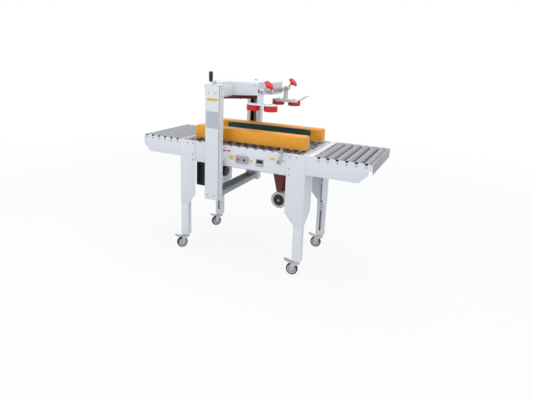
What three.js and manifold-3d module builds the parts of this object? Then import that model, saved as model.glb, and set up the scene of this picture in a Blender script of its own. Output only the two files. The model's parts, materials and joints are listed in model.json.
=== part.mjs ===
// Side-belt carton sealer on castered legs: roller tables before and after a roller bed,
// two belt drives that carry the carton, a tape head below the bed and one in a lifting head.
// Millimetres, +Z up, +X the way the cartons travel, -Y the operator's side.
// The origin lies on the floor under the middle of the machine.
import * as THREE from 'three';
import { mergeVertices } from 'three/addons/utils/BufferGeometryUtils.js';
import Module from 'manifold-3d';

const wasm = await Module();
wasm.setup();

// ---- Driving dimensions ----
const GAP = 0.3; // between faces that touch
const SHEET = 3; // folded sheet of frame, brackets and columns
const ROLL_TOP = 800; // height at which cartons travel
const PLATE_DROP = 3; // side plates end this far below the roller tops
const FRAME_LENGTH = 920;
const FRAME_DEPTH = 520;
const PANEL_HEIGHT = 145;
const END_LIP = 25; // end plate past the outfeed side plates
const TABLE_PLATE_HEIGHT = 121;
const TABLE_CHAMFER = 55;
const TABLE_FLAT = 46; // plain strip between frame and first outfeed roller
const TABLE_FLAT_GAP = 11; // between that strip and the first outfeed roller
const OUTFEED_TAIL = 16.5; // side plates past the last outfeed axle
const BED_ROLLER_DIA = 38;
const BED_PITCH = 60;
const BED_COUNT = 15;
const BED_SLOT = 128; // middle gap of the bed, over the lower tape head
const TABLE_ROLLER_DIA = 48;
const TABLE_ROLLER_COUNT = 6;
const INFEED_GAP = 6; // between infeed rollers
const INFEED_FIRST_GAP = 2; // between infeed rollers and frame, and at their free end
const OUTFEED_GAP = 8.5; // between outfeed rollers
const AXLE_DIA = 12;
const BRACKET_WIDTH = 124;
const BRACKET_DEPTH = 140;
const BRACKET_SHOULDER = 408; // height where the bracket starts to narrow
const BRACKET_FOOT = 338; // height of its lower edge
const LEG_WIDTH = 58;
const LEG_DEPTH = 40;
const LEG_SLOT = 14;
const LEG_BOTTOM = 106;
const LEG_RAISE = 100; // how far a leg can slide up into its bracket
const WHEEL_DIA = 76;
const WHEEL_WIDTH = 24;
const CASTER_TRAIL = 30;
const COLUMN_WIDTH = 108;
const COLUMN_DEPTH = 60;
const COLUMN_STANDOFF = 7; // from the leg brackets' face
const COLUMN_FROM_CENTRE = -165; // column's middle from the frame's middle
const COLUMN_BOTTOM = 426;
const COLUMN_TOP = 1188;
const COLUMN_SLOT = 50;
const COLUMN_SLOT_START = 60; // above the side plates
const CROSSBAR_WIDTH = 88;
const CROSSBAR_HEIGHT = 34;
const CROSSBAR_BOTTOM = 440;
const SCREW_DIA = 16;
const CRANK_REACH = 75;
const CRANK_ANGLE = 141; // crank arm at rest, degrees from +X
const GRIP_DIA = 24;
const GRIP_LENGTH = 66;
const HEAD_BACK = -300; // infeed end of the head from the frame's middle
const HEAD_FRONT = 45;
const HEAD_WIDTH = 180;
const HEAD_TOP = 1196;
const HEAD_BOTTOM = 1098;
const HEAD_RISE = 18; // the head's lower edge climbs towards the outfeed
const BEAM_FRONT = 70; // outfeed face of the rear cross beam
const ROD_X = 105;
const ROD_Z = 1150;
const ROD_DIA = 22;
const ROD_NEAR = -178;
const ROD_FAR = 308;
const LUG_THICKNESS = 12;
const LUG_EDGE = 18; // lug edges from the rod's axis
const LUG_PLACES = [-34, 150];
const CLAMP_SIZE = 34;
const CLAMP_PLACES = [-150, 262];
const KNOB_REACH = 66;
const KNOB_DIA = 74;
const KNOB_TILT = 45;
const PRESS_DIA = 90;
const PRESS_HEIGHT = 36;
const PRESS_SPACING = 124;
const PRESS_PLATE_Z = 1066;
const PRESS_PLATE_LENGTH = 196;
const PRESS_PLATE_WIDTH = 46;
const PRESS_LIP = 66;
const BELT_LENGTH = 807;
const BELT_CENTRE = 28;
const BELT_INNER = 115; // carton side of the belt from the middle plane
const HOUSING_THICKNESS = 90;
const HOUSING_BOTTOM = 812;
const HOUSING_HEIGHT = 82;
const BELT_DEPTH = 30; // belt and pulleys show this deep on the carton side
const BELT_HEIGHT = 56;
const GUIDE_DIA = 16;
const GUIDE_Z = 700;
const GUIDE_PLACES = [-270, 270];
const HANGER_THICKNESS = 10;
const MOTOR_DIA = 78;
const MOTOR_LENGTH = 150;
const MOTOR_Z = 590;
const GEARBOX = [80, 80, 175];
const GEARBOX_BOTTOM = 465;
const DRIVE_X = -330;
const TAPE_UNIT_WIDTH = 70;
const TAPE_PLATE = 4;
const ROLL_X = 196;
const ROLL_Z = 399;
const ROLL_DIA = 116;
const ROLL_CORE_DIA = 76;
const ROLL_WIDTH = 48;
const SWITCH_BOX = [90, 13, 48];
const SWITCH_X = 25;
const SWITCH_Z = 714;
const BUTTON_DIA = 18;
const WIDTH_CRANK_X = 285;
const WIDTH_CRANK_Z = 732;
const WIDTH_CRANK_REACH = 80;

// ---- Sizes worked out from them ----
const INFEED_PITCH = TABLE_ROLLER_DIA + INFEED_GAP;
const OUTFEED_PITCH = TABLE_ROLLER_DIA + OUTFEED_GAP;
const INFEED_LENGTH = TABLE_ROLLER_COUNT * INFEED_PITCH - INFEED_GAP + INFEED_FIRST_GAP;
const OUTFEED_FIRST = TABLE_FLAT + TABLE_FLAT_GAP + TABLE_ROLLER_DIA / 2;
const OUTFEED_LENGTH = OUTFEED_FIRST + (TABLE_ROLLER_COUNT - 1) * OUTFEED_PITCH + OUTFEED_TAIL;
const LENGTH = INFEED_LENGTH + FRAME_LENGTH + OUTFEED_LENGTH + END_LIP;
const CENTRE = -LENGTH / 2 + INFEED_LENGTH + FRAME_LENGTH / 2; // frame's middle
const FRAME_LEFT = CENTRE - FRAME_LENGTH / 2;
const FRAME_RIGHT = CENTRE + FRAME_LENGTH / 2;
const PLATE_TOP = ROLL_TOP - PLATE_DROP;
const PANEL_BOTTOM = PLATE_TOP - PANEL_HEIGHT;
const SIDE = FRAME_DEPTH / 2; // outer face of leg brackets and table plates
const PANEL_FACE = SIDE - SHEET - GAP; // outer face of the frame's side panels
const PANEL_INSIDE = PANEL_FACE - SHEET;
const BED_AXIS_Z = ROLL_TOP - BED_ROLLER_DIA / 2;
const TABLE_AXIS_Z = ROLL_TOP - TABLE_ROLLER_DIA / 2;
const COLUMN_INNER = SIDE + COLUMN_STANDOFF;
const COLUMN_FACE = COLUMN_INNER + COLUMN_DEPTH; // outer face from the middle plane
const COLUMN_X = CENTRE + COLUMN_FROM_CENTRE;
const SCREW_Y = COLUMN_FACE - COLUMN_DEPTH / 2;
const HOUSING_X0 = CENTRE + BELT_CENTRE - BELT_LENGTH / 2;
const HOUSING_X1 = HOUSING_X0 + BELT_LENGTH;
const DEG = Math.PI / 180;

// ---- Materials ----
const paint = new THREE.MeshStandardMaterial({ color: '#e2e5ea', roughness: 0.45, metalness: 0 });
const orange = new THREE.MeshStandardMaterial({ color: '#e8982a', roughness: 0.45, metalness: 0 });
const green = new THREE.MeshStandardMaterial({ color: '#0f3c37', roughness: 0.8, metalness: 0 });
const red = new THREE.MeshStandardMaterial({ color: '#dc2828', roughness: 0.4, metalness: 0 });
const maroon = new THREE.MeshStandardMaterial({ color: '#6a0a1c', roughness: 0.5, metalness: 0 });
const steel = new THREE.MeshStandardMaterial({ color: '#9a9a9f', roughness: 0.35, metalness: 0.9 });
const zinc = new THREE.MeshStandardMaterial({ color: '#a9adb2', roughness: 0.4, metalness: 0.8 });
const black = new THREE.MeshStandardMaterial({ color: '#141416', roughness: 0.5, metalness: 0 });
const tape = new THREE.MeshStandardMaterial({ color: '#d8d8d2', roughness: 0.4, metalness: 0 });
const grey = new THREE.MeshStandardMaterial({ color: '#b4b8bd', roughness: 0.5, metalness: 0 });

// ---- Solids ----
function toManifold(geometry) {
  const bare = geometry.clone();
  bare.deleteAttribute('normal');
  bare.deleteAttribute('uv');
  const merged = mergeVertices(bare, 1e-4);
  const vertProperties = new Float32Array(merged.attributes.position.array);
  const triVerts = new Uint32Array(merged.index.array);
  return new wasm.Manifold(new wasm.Mesh({ numProp: 3, vertProperties, triVerts }));
}

function toGeometry(solid) {
  const mesh = solid.getMesh();
  const geometry = new THREE.BufferGeometry();
  geometry.setAttribute('position', new THREE.BufferAttribute(mesh.vertProperties, 3));
  geometry.setIndex(new THREE.BufferAttribute(mesh.triVerts, 1));
  return geometry;
}

// A box between two opposite corners.
function block(x0, x1, y0, y1, z0, z1) {
  const geometry = new THREE.BoxGeometry(x1 - x0, y1 - y0, z1 - z0);
  geometry.translate((x0 + x1) / 2, (y0 + y1) / 2, (z0 + z1) / 2);
  return toManifold(geometry);
}

// A round bar along one axis, from start to end, with its middle line at the other two places.
function bar(axis, dia, start, end, a, b, sides = 16) {
  const geometry = new THREE.CylinderGeometry(dia / 2, dia / 2, end - start, sides);
  const middle = (start + end) / 2;
  if (axis === 'x') {
    geometry.rotateZ(-Math.PI / 2);
    geometry.translate(middle, a, b);
  } else if (axis === 'y') {
    geometry.translate(a, middle, b);
  } else {
    geometry.rotateX(Math.PI / 2);
    geometry.translate(a, b, middle);
  }
  return toManifold(geometry);
}

// The tool for a round hole whose flats stay clear of a shaft of this diameter.
function bore(axis, shaftDia, start, end, a, b, sides = 12) {
  return bar(axis, (shaftDia + 2 * GAP) / Math.cos(Math.PI / sides), start, end, a, b, sides);
}

// An outline of [x, z] points, made solid from y0 to y1.
function plateXZ(points, y0, y1) {
  const shape = new THREE.Shape(points.map(([x, z]) => new THREE.Vector2(x, z)));
  const geometry = new THREE.ExtrudeGeometry(shape, { depth: y1 - y0, bevelEnabled: false });
  geometry.rotateX(Math.PI / 2);
  geometry.translate(0, y1, 0);
  return toManifold(geometry);
}

// A shape in x and y, made solid from z0 to z1.
function plateXY(shape, z0, z1, curveSegments) {
  const geometry = new THREE.ExtrudeGeometry(shape, { depth: z1 - z0, bevelEnabled: false, curveSegments });
  geometry.translate(0, 0, z0);
  return toManifold(geometry);
}

function join(...solids) {
  return solids.reduce((sum, solid) => sum.add(solid));
}

function cut(solid, ...tools) {
  return tools.reduce((rest, tool) => rest.subtract(tool), solid);
}

// The same solid on the other side of the middle plane.
function otherSide(solid) {
  return solid.mirror([0, 1, 0]);
}

const machine = new THREE.Group();

function add(name, solid, material, x = 0, y = 0, z = 0, turn = 0) {
  const mesh = new THREE.Mesh(toGeometry(solid), material);
  mesh.name = name;
  mesh.position.set(x, y, z);
  mesh.rotation.z = turn;
  machine.add(mesh);
  return mesh;
}

// ---- Frame ----
const BED_NOTCH = 24; // width of the notches over the bed rollers' ends
const TABLE_NOTCH = 22;

// Half-round notches in a side plate's top edge, one over each roller end.
function notches(places, width, y0, y1) {
  return places.map((x) => bar('y', width, y0, y1, x, PLATE_TOP, 8));
}

const bedPlaces = Array.from({ length: BED_COUNT }, (_, i) =>
  CENTRE + (i - (BED_COUNT - 1) / 2) * BED_PITCH);

function sidePanel() {
  const x0 = FRAME_LEFT + SHEET + GAP;
  const x1 = FRAME_RIGHT - SHEET - GAP;
  const skin = block(x0, x1, -PANEL_FACE, -PANEL_INSIDE, PANEL_BOTTOM, PLATE_TOP);
  return cut(skin, ...notches(bedPlaces, BED_NOTCH, -PANEL_FACE - 1, -PANEL_INSIDE + 1));
}

function endMember(x0, x1, flangeTo) {
  const web = block(x0, x1, -PANEL_INSIDE - 1, PANEL_INSIDE + 1, PANEL_BOTTOM + 20, PLATE_TOP);
  const flange = block(Math.min(x0, flangeTo), Math.max(x1, flangeTo), -PANEL_INSIDE - 1, PANEL_INSIDE + 1,
    PLATE_TOP - SHEET, PLATE_TOP);
  return join(web, flange);
}

const BED_RAIL_INNER = BED_SLOT / 2; // inner rails of the bed
const BED_RAIL_HEIGHT = 37;
const BED_RAIL_THICKNESS = 5;

function baseFrame() {
  const x0 = FRAME_LEFT + SHEET + GAP;
  const x1 = FRAME_RIGHT - SHEET - GAP;
  const shaftHole = bore('y', AXLE_DIA, -PANEL_FACE - 1, -PANEL_INSIDE + 1,
    CENTRE + WIDTH_CRANK_X, WIDTH_CRANK_Z);
  const front = cut(sidePanel(), shaftHole);
  const rear = otherSide(sidePanel());
  const ends = join(endMember(x0, x0 + SHEET, x0 + 16), endMember(x1 - SHEET, x1, x1 - 16));
  const railTop = BED_AXIS_Z - BED_ROLLER_DIA / 2 - 4;
  const rail = block(x0 + 1, x1 - 1, -BED_RAIL_INNER, -BED_RAIL_INNER + BED_RAIL_THICKNESS,
    railTop - BED_RAIL_HEIGHT, railTop);
  const guides = GUIDE_PLACES.map((x) =>
    bar('y', GUIDE_DIA, -PANEL_INSIDE - 1, PANEL_INSIDE + 1, CENTRE + x, GUIDE_Z, 12));
  return join(front, rear, ends, rail, otherSide(rail), ...guides);
}

add('base_frame', baseFrame(), paint);

// ---- Legs, brackets and casters ----
// Corner signs: sx -1 at the infeed, sy -1 at the operator's side.
const corners = [
  { name: 'front_left', sx: -1, sy: -1, yaw: 52 },
  { name: 'front_right', sx: 1, sy: -1, yaw: 8 },
  { name: 'rear_left', sx: -1, sy: 1, yaw: 48 },
  { name: 'rear_right', sx: 1, sy: 1, yaw: 6 },
];

// Shapes for the front left corner, with the outer corner edge at x = 0, y = 0.
function legBracket() {
  const face = plateXZ([
    [0, BRACKET_FOOT], [LEG_WIDTH + 4, BRACKET_FOOT], [BRACKET_WIDTH, BRACKET_SHOULDER],
    [BRACKET_WIDTH, PLATE_TOP], [0, PLATE_TOP],
  ], 0, SHEET);
  const flank = plateXZ([
    [0, BRACKET_FOOT], [LEG_DEPTH + 4, BRACKET_FOOT], [BRACKET_DEPTH, BRACKET_SHOULDER],
    [BRACKET_DEPTH, PLATE_TOP], [0, PLATE_TOP],
  ], 0, SHEET);
  return join(face, flank.rotate([0, 0, 90]).translate([SHEET, 0, 0]));
}

function leg() {
  const inset = SHEET + GAP;
  const x0 = inset;
  const x1 = inset + LEG_WIDTH;
  const y0 = inset;
  const y1 = inset + LEG_DEPTH;
  const top = PANEL_BOTTOM - GAP - LEG_RAISE;
  const tube = cut(
    block(x0, x1, y0, y1, LEG_BOTTOM, top),
    block(x0 + SHEET, x1 - SHEET, y0 + SHEET, y1 - SHEET, LEG_BOTTOM - 1, top + 1),
    block((x0 + x1 - LEG_SLOT) / 2, (x0 + x1 + LEG_SLOT) / 2, y1 - SHEET - 1, y1 + 1,
      LEG_BOTTOM + 30, top + 1),
  );
  const plate = block(x0 + 1, x1 - 1, y0 - 2, y1 + 2, LEG_BOTTOM - 6, LEG_BOTTOM);
  return join(tube, plate);
}

// Caster with its kingpin on x = 0, y = 0, trailing towards -X, wheel axle along Y.
function casterFork() {
  const top = LEG_BOTTOM - 6 - GAP;
  const cheek = WHEEL_WIDTH / 2 + 2;
  const axleZ = WHEEL_DIA / 2;
  const race = bar('z', 44, top - 12, top, 0, 0, 16);
  const crown = block(-34, 20, -cheek - SHEET, cheek + SHEET, top - 15, top - 12);
  const side = plateXZ([
    [-34, top - 12], [-CASTER_TRAIL - 12, axleZ - 6], [-CASTER_TRAIL + 10, axleZ - 10],
    [20, top - 13], [20, top - 12],
  ], cheek, cheek + SHEET);
  const axle = bar('y', 10, -cheek - SHEET - 4, cheek + SHEET + 4, -CASTER_TRAIL, axleZ, 8);
  const pedal = plateXZ([
    [-30, top - 15], [-30, top - 12], [-72, top - 3], [-86, top - 1], [-86, top - 4], [-72, top - 7],
  ], -13, 13);
  return join(race, crown, side, otherSide(side), axle, pedal);
}

function casterWheel() {
  const r = WHEEL_DIA / 2;
  const w = WHEEL_WIDTH / 2;
  const hub = 6;
  const profile = [[hub, -w], [r - 3, -w], [r, -w + 5], [r, w - 5], [r - 3, w], [hub, w], [hub, -w]];
  const geometry = new THREE.LatheGeometry(profile.map(([a, b]) => new THREE.Vector2(a, b)), 24);
  return toManifold(geometry);
}

for (const { name, sx, sy, yaw } of corners) {
  const cornerX = sx < 0 ? FRAME_LEFT : FRAME_RIGHT;
  const put = (solid) => {
    let placed = solid;
    if (sx > 0) placed = placed.mirror([1, 0, 0]);
    if (sy > 0) placed = placed.mirror([0, 1, 0]);
    return placed.translate([cornerX, sy * SIDE, 0]);
  };
  add(`leg_bracket_${name}`, put(legBracket()), paint);
  add(`leg_${name}`, put(leg()), paint);
  const pinX = cornerX - sx * (SHEET + GAP + LEG_WIDTH / 2);
  const pinY = sy * (SIDE - SHEET - GAP - LEG_DEPTH / 2);
  const turn = yaw * DEG;
  add(`caster_fork_${name}`, casterFork(), zinc, pinX, pinY, 0, turn);
  const wheelX = pinX - CASTER_TRAIL * Math.cos(turn);
  const wheelY = pinY - CASTER_TRAIL * Math.sin(turn);
  add(`caster_wheel_${name}`, casterWheel(), black, wheelX, wheelY, WHEEL_DIA / 2, turn);
}

// ---- Bed rollers ----
function bedBank() {
  const outer = PANEL_INSIDE - GAP;
  const inner = BED_RAIL_INNER;
  const first = bedPlaces[0] - 12;
  const last = bedPlaces[BED_COUNT - 1] + 12;
  const railZ = [BED_AXIS_Z - 12, BED_AXIS_Z + 12];
  const rails = [
    block(first, last, -outer, -outer + SHEET, railZ[0], railZ[1]),
    block(first, last, -inner - SHEET, -inner, BED_AXIS_Z - BED_ROLLER_DIA / 2 - 3.7, railZ[1]),
  ];
  const rollers = bedPlaces.map((x) => join(
    bar('y', BED_ROLLER_DIA, -outer + SHEET + 3, -inner - SHEET - 3, x, BED_AXIS_Z, 12),
    bar('y', 10, -outer + 1, -inner - 1, x, BED_AXIS_Z, 4),
  ));
  return join(...rails, ...rollers);
}

add('bed_rollers_front', bedBank(), steel);
add('bed_rollers_rear', otherSide(bedBank()), steel);

// ---- Roller tables ----
const infeedPlaces = Array.from({ length: TABLE_ROLLER_COUNT }, (_, i) =>
  FRAME_LEFT - TABLE_ROLLER_DIA / 2 - INFEED_FIRST_GAP - (TABLE_ROLLER_COUNT - 1 - i) * INFEED_PITCH);
const outfeedPlaces = Array.from({ length: TABLE_ROLLER_COUNT }, (_, i) =>
  FRAME_RIGHT + OUTFEED_FIRST + i * OUTFEED_PITCH);

// Side plates between the frame end and the free end, with a sloped lower corner at the free end.
function tableSides(frameEnd, freeEnd, places) {
  const slope = frameEnd < freeEnd ? -TABLE_CHAMFER : TABLE_CHAMFER;
  const bottom = PLATE_TOP - TABLE_PLATE_HEIGHT;
  const outline = [[frameEnd, bottom], [freeEnd + slope, bottom], [freeEnd, bottom + TABLE_CHAMFER],
    [freeEnd, PLATE_TOP], [frameEnd, PLATE_TOP]];
  if (frameEnd > freeEnd) outline.reverse();
  const side = cut(
    plateXZ(outline, -SIDE, -SIDE + SHEET),
    ...notches(places, TABLE_NOTCH, -SIDE - 1, -SIDE + SHEET + 1),
    ...places.map((x) => bore('y', AXLE_DIA, -SIDE - 1, -SIDE + SHEET + 1, x, TABLE_AXIS_Z, 8)),
  );
  return join(side, otherSide(side));
}

const TABLE_INSIDE = SIDE - SHEET;

function infeedTable() {
  const frameEnd = FRAME_LEFT - GAP;
  const freeEnd = FRAME_LEFT - INFEED_LENGTH;
  const bottom = PLATE_TOP - TABLE_PLATE_HEIGHT;
  const under = ROLL_TOP - TABLE_ROLLER_DIA - 4;
  const innerWeb = block(frameEnd - SHEET, frameEnd, -TABLE_INSIDE - 1, TABLE_INSIDE + 1, bottom, under);
  const outerWeb = block(freeEnd + 2, freeEnd + 2 + SHEET, -TABLE_INSIDE - 1, TABLE_INSIDE + 1,
    bottom + TABLE_CHAMFER, under);
  return join(tableSides(frameEnd, freeEnd, infeedPlaces), innerWeb, outerWeb);
}

function outfeedTable() {
  const frameEnd = FRAME_RIGHT + GAP;
  const freeEnd = FRAME_RIGHT + OUTFEED_LENGTH;
  const bottom = PLATE_TOP - TABLE_PLATE_HEIGHT;
  const innerWeb = block(frameEnd, frameEnd + SHEET, -TABLE_INSIDE - 1, TABLE_INSIDE + 1,
    bottom, PLATE_TOP);
  const flat = block(frameEnd, frameEnd + TABLE_FLAT, -TABLE_INSIDE - 1, TABLE_INSIDE + 1,
    PLATE_TOP - SHEET, PLATE_TOP);
  const lipStart = outfeedPlaces[TABLE_ROLLER_COUNT - 1] + TABLE_ROLLER_DIA / 2 + 2;
  const lipEnd = freeEnd + END_LIP;
  const lip = block(lipStart, lipEnd, -SIDE, SIDE, PLATE_TOP - SHEET, PLATE_TOP);
  const apron = block(lipEnd - SHEET, lipEnd, -SIDE, SIDE, PLATE_TOP - 58, PLATE_TOP);
  const tie = block(freeEnd - 4, lipEnd, -SIDE, -SIDE + SHEET, PLATE_TOP - 40, PLATE_TOP);
  const sides = tableSides(frameEnd, freeEnd, outfeedPlaces);
  return join(sides, innerWeb, flat, lip, apron, tie, otherSide(tie));
}

function tableRoller() {
  return join(
    bar('y', TABLE_ROLLER_DIA, -TABLE_INSIDE + 4, TABLE_INSIDE - 4, 0, 0, 16),
    bar('y', AXLE_DIA, -SIDE, SIDE, 0, 0, 8),
  );
}

add('infeed_table', infeedTable(), paint);
add('outfeed_table', outfeedTable(), paint);
infeedPlaces.forEach((x, i) => add(`infeed_roller_${i + 1}`, tableRoller(), steel, x, 0, TABLE_AXIS_Z));
outfeedPlaces.forEach((x, i) => add(`outfeed_roller_${i + 1}`, tableRoller(), steel, x, 0, TABLE_AXIS_Z));

// ---- Columns ----
const MOUNT_PLATE = [160, 100]; // plate that holds a column to the side panel
const MOUNT_PLATE_Z = 690;
const CAP_THICKNESS = 5;

function column() {
  const x0 = COLUMN_X - COLUMN_WIDTH / 2;
  const x1 = COLUMN_X + COLUMN_WIDTH / 2;
  const channel = cut(
    block(x0, x1, -COLUMN_FACE, -COLUMN_INNER, COLUMN_BOTTOM, COLUMN_TOP),
    block(x0 + SHEET, x1 - SHEET, -COLUMN_FACE + SHEET, -COLUMN_INNER - SHEET,
      COLUMN_BOTTOM - 1, COLUMN_TOP + 1),
    block(COLUMN_X - COLUMN_SLOT / 2, COLUMN_X + COLUMN_SLOT / 2,
      -COLUMN_INNER - SHEET - 1, -COLUMN_INNER + 1, PLATE_TOP + COLUMN_SLOT_START, COLUMN_TOP + 1),
  );
  const cap = block(x0, x1, -COLUMN_FACE, -COLUMN_INNER, COLUMN_TOP - 1, COLUMN_TOP - 1 + CAP_THICKNESS);
  const sole = block(x0 + 1, x1 - 1, -COLUMN_FACE + 1, -COLUMN_INNER - 1,
    COLUMN_BOTTOM, COLUMN_BOTTOM + CAP_THICKNESS);
  const mount = block(COLUMN_X - MOUNT_PLATE[0] / 2, COLUMN_X + MOUNT_PLATE[0] / 2, -COLUMN_INNER - 1,
    -PANEL_FACE - GAP, MOUNT_PLATE_Z, MOUNT_PLATE_Z + MOUNT_PLATE[1]);
  const screwHole = bore('z', SCREW_DIA, COLUMN_TOP - 3, COLUMN_TOP + CAP_THICKNESS + 2,
    COLUMN_X, -SCREW_Y);
  return cut(join(channel, cap, sole, mount), screwHole);
}

function lowerCrossbar() {
  const x0 = COLUMN_X - CROSSBAR_WIDTH / 2;
  const x1 = COLUMN_X + CROSSBAR_WIDTH / 2;
  const y = COLUMN_INNER - GAP;
  return cut(
    block(x0, x1, -y, y, CROSSBAR_BOTTOM, CROSSBAR_BOTTOM + CROSSBAR_HEIGHT),
    block(x0 + SHEET, x1 - SHEET, -y + SHEET, y - SHEET,
      CROSSBAR_BOTTOM + SHEET, CROSSBAR_BOTTOM + CROSSBAR_HEIGHT + 1),
  );
}

add('column_front', column(), paint);
add('column_rear', otherSide(column()), paint);
add('lower_crossbar', lowerCrossbar(), grey);

// ---- Lifting screws and crank ----
const SCREW_BOTTOM = COLUMN_BOTTOM + CAP_THICKNESS + GAP;

function liftCrank() {
  const armZ = COLUMN_TOP + CAP_THICKNESS + 6;
  const screw = bar('z', SCREW_DIA, SCREW_BOTTOM, armZ + 8, 0, 0, 12);
  const hub = bar('z', 26, COLUMN_TOP + CAP_THICKNESS - 1 + GAP, armZ + 8, 0, 0, 12);
  const arm = block(0, CRANK_REACH, -9, 9, armZ, armZ + 6);
  const grip = bar('z', GRIP_DIA, armZ, armZ + 6 + GRIP_LENGTH, CRANK_REACH, 0, 12);
  return join(screw, hub, arm, grip);
}

function rearScrew() {
  const screw = bar('z', SCREW_DIA, SCREW_BOTTOM, COLUMN_TOP + CAP_THICKNESS + 8, 0, 0, 12);
  const nut = bar('z', 26, COLUMN_TOP + CAP_THICKNESS - 1 + GAP, COLUMN_TOP + CAP_THICKNESS + 8, 0, 0, 6);
  return join(screw, nut);
}

add('lift_crank', liftCrank(), black, COLUMN_X, -SCREW_Y, 0, CRANK_ANGLE * DEG);
add('lift_screw_rear', rearScrew(), steel, COLUMN_X, SCREW_Y);

// ---- Lifting head ----
const BEAM_WIDTH = 44;
const BEAM_BACK = -120; // infeed face of the rear cross beam
const BEAM_DROP = 8; // its top below the head's
const BEAM_BOTTOM = 1112;
const BEAM_TOP = 1176;
const SLIDER = [94, 46, 112];
const SLIDER_BOTTOM = 1070;

function headCarrier() {
  const back = CENTRE + HEAD_BACK;
  const front = CENTRE + HEAD_FRONT;
  const half = HEAD_WIDTH / 2;
  const outline = (inset, lower) => [
    [back + inset, HEAD_BOTTOM - lower], [front - inset, HEAD_BOTTOM + HEAD_RISE - lower],
    [front - inset, HEAD_TOP - inset], [back + inset, HEAD_TOP - inset],
  ];
  const shell = cut(
    plateXZ(outline(0, 0), -half, half),
    plateXZ(outline(SHEET, 1), -half + SHEET, half - SHEET),
  );
  const reach = SCREW_Y - SLIDER[1] / 2 + 1;
  const spine = block(COLUMN_X - BEAM_WIDTH / 2, COLUMN_X + BEAM_WIDTH / 2, -reach, reach,
    BEAM_BOTTOM, BEAM_TOP);
  const rearBeam = block(CENTRE + BEAM_BACK, CENTRE + BEAM_FRONT, half - 1, COLUMN_INNER - 5,
    BEAM_BOTTOM, HEAD_TOP - BEAM_DROP);
  const slider = block(COLUMN_X - SLIDER[0] / 2, COLUMN_X + SLIDER[0] / 2,
    -SCREW_Y - SLIDER[1] / 2, -SCREW_Y + SLIDER[1] / 2, SLIDER_BOTTOM, SLIDER_BOTTOM + SLIDER[2]);
  const screwHole = bore('z', SCREW_DIA, SLIDER_BOTTOM - 1, SLIDER_BOTTOM + SLIDER[2] + 1,
    COLUMN_X, -SCREW_Y);
  const guide = cut(slider, screwHole);
  const lugs = LUG_PLACES.map((y) => block(front - 2, CENTRE + ROD_X + LUG_EDGE, y, y + LUG_THICKNESS,
    ROD_Z - LUG_EDGE, ROD_Z + LUG_EDGE));
  const frontEar = block(front - 2, CENTRE + 62, -half, -half + 40, ROD_Z - 20, ROD_Z + 14);
  const rodHole = bore('y', ROD_DIA, ROD_NEAR, ROD_FAR, CENTRE + ROD_X, ROD_Z);
  return join(shell, spine, rearBeam, guide, otherSide(guide), frontEar, cut(join(...lugs), rodHole));
}

add('head_carrier', headCarrier(), paint);

// Tape head hung inside the lifting head: two cheeks, a bed plate between them and three cross rollers.
function upperTapeHead() {
  const x0 = CENTRE + HEAD_BACK + 40;
  const x1 = CENTRE + HEAD_FRONT - 30;
  const half = TAPE_UNIT_WIDTH / 2;
  const top = BEAM_BOTTOM - GAP;
  const outline = [[x0, HEAD_BOTTOM - 26], [x1, HEAD_BOTTOM - 8], [x1, top], [x0, top]];
  const cheek = plateXZ(outline, -half, -half + TAPE_PLATE);
  const cross = [x0 + 18, (x0 + x1) / 2, x1 - 18].map((x, i) =>
    bar('y', 28, -half + 1, half - 1, x, HEAD_BOTTOM - 12 + i * 6, 12));
  const lid = block(x0, x1, -half, half, top - TAPE_PLATE, top);
  return join(cheek, otherSide(cheek), lid, ...cross);
}

add('upper_tape_head', upperTapeHead(), maroon);

// ---- Press rollers on their rod ----
add('press_rod', bar('y', ROD_DIA, ROD_NEAR, ROD_FAR, CENTRE + ROD_X, ROD_Z, 12), steel);

const PRESS_AXLE_DIA = 10;
const STEM_DIA = 10;

function stem(dia, from, to, sides = 12) {
  const solid = bar('x', dia, from, to, 0, 0, sides);
  return solid.rotate([0, -KNOB_TILT, 0]).translate([CENTRE + ROD_X, 0, ROD_Z]);
}

function pressBracket(lip) {
  const x = CENTRE + ROD_X;
  const h = CLAMP_SIZE / 2;
  const clamp = cut(
    block(x - h, x + h, -15, 15, ROD_Z - h, ROD_Z + h),
    bore('y', ROD_DIA, -20, 20, x, ROD_Z),
    stem(STEM_DIA + 4 * GAP, ROD_DIA / 2, 40),
  );
  const drop = block(x - 18, x + 12, -12, -8, PRESS_PLATE_Z, ROD_Z - h + 2);
  const x0 = x - PRESS_PLATE_LENGTH / 2;
  const x1 = x + PRESS_PLATE_LENGTH / 2;
  const half = PRESS_PLATE_WIDTH / 2;
  const plate = block(x0, x1, -half, half, PRESS_PLATE_Z, PRESS_PLATE_Z + 4);
  const axles = [-1, 1].map((s) => bar('z', PRESS_AXLE_DIA,
    PRESS_PLATE_Z - PRESS_HEIGHT - 6, PRESS_PLATE_Z + 1, x + s * PRESS_SPACING / 2, 0, 8));
  const parts = [clamp, drop, plate, ...axles];
  if (lip) {
    parts.push(plateXZ([[x1 - 2, PRESS_PLATE_Z], [x1 + PRESS_LIP, PRESS_PLATE_Z + 40],
      [x1 + PRESS_LIP, PRESS_PLATE_Z + 44], [x1 - 2, PRESS_PLATE_Z + 4]], -half, half));
  }
  return join(...parts);
}

function pressRoller() {
  const top = PRESS_PLATE_Z - 2;
  return cut(
    bar('z', PRESS_DIA, top - PRESS_HEIGHT, top, 0, 0, 24),
    bore('z', PRESS_AXLE_DIA, top - PRESS_HEIGHT - 1, top + 1, 0, 0, 8),
  );
}

function clampKnob() {
  return join(
    stem(STEM_DIA, ROD_DIA / 2 + GAP, KNOB_REACH),
    stem(KNOB_DIA, KNOB_REACH - 9, KNOB_REACH + 9, 20),
    stem(28, KNOB_REACH - 24, KNOB_REACH),
  );
}

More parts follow.
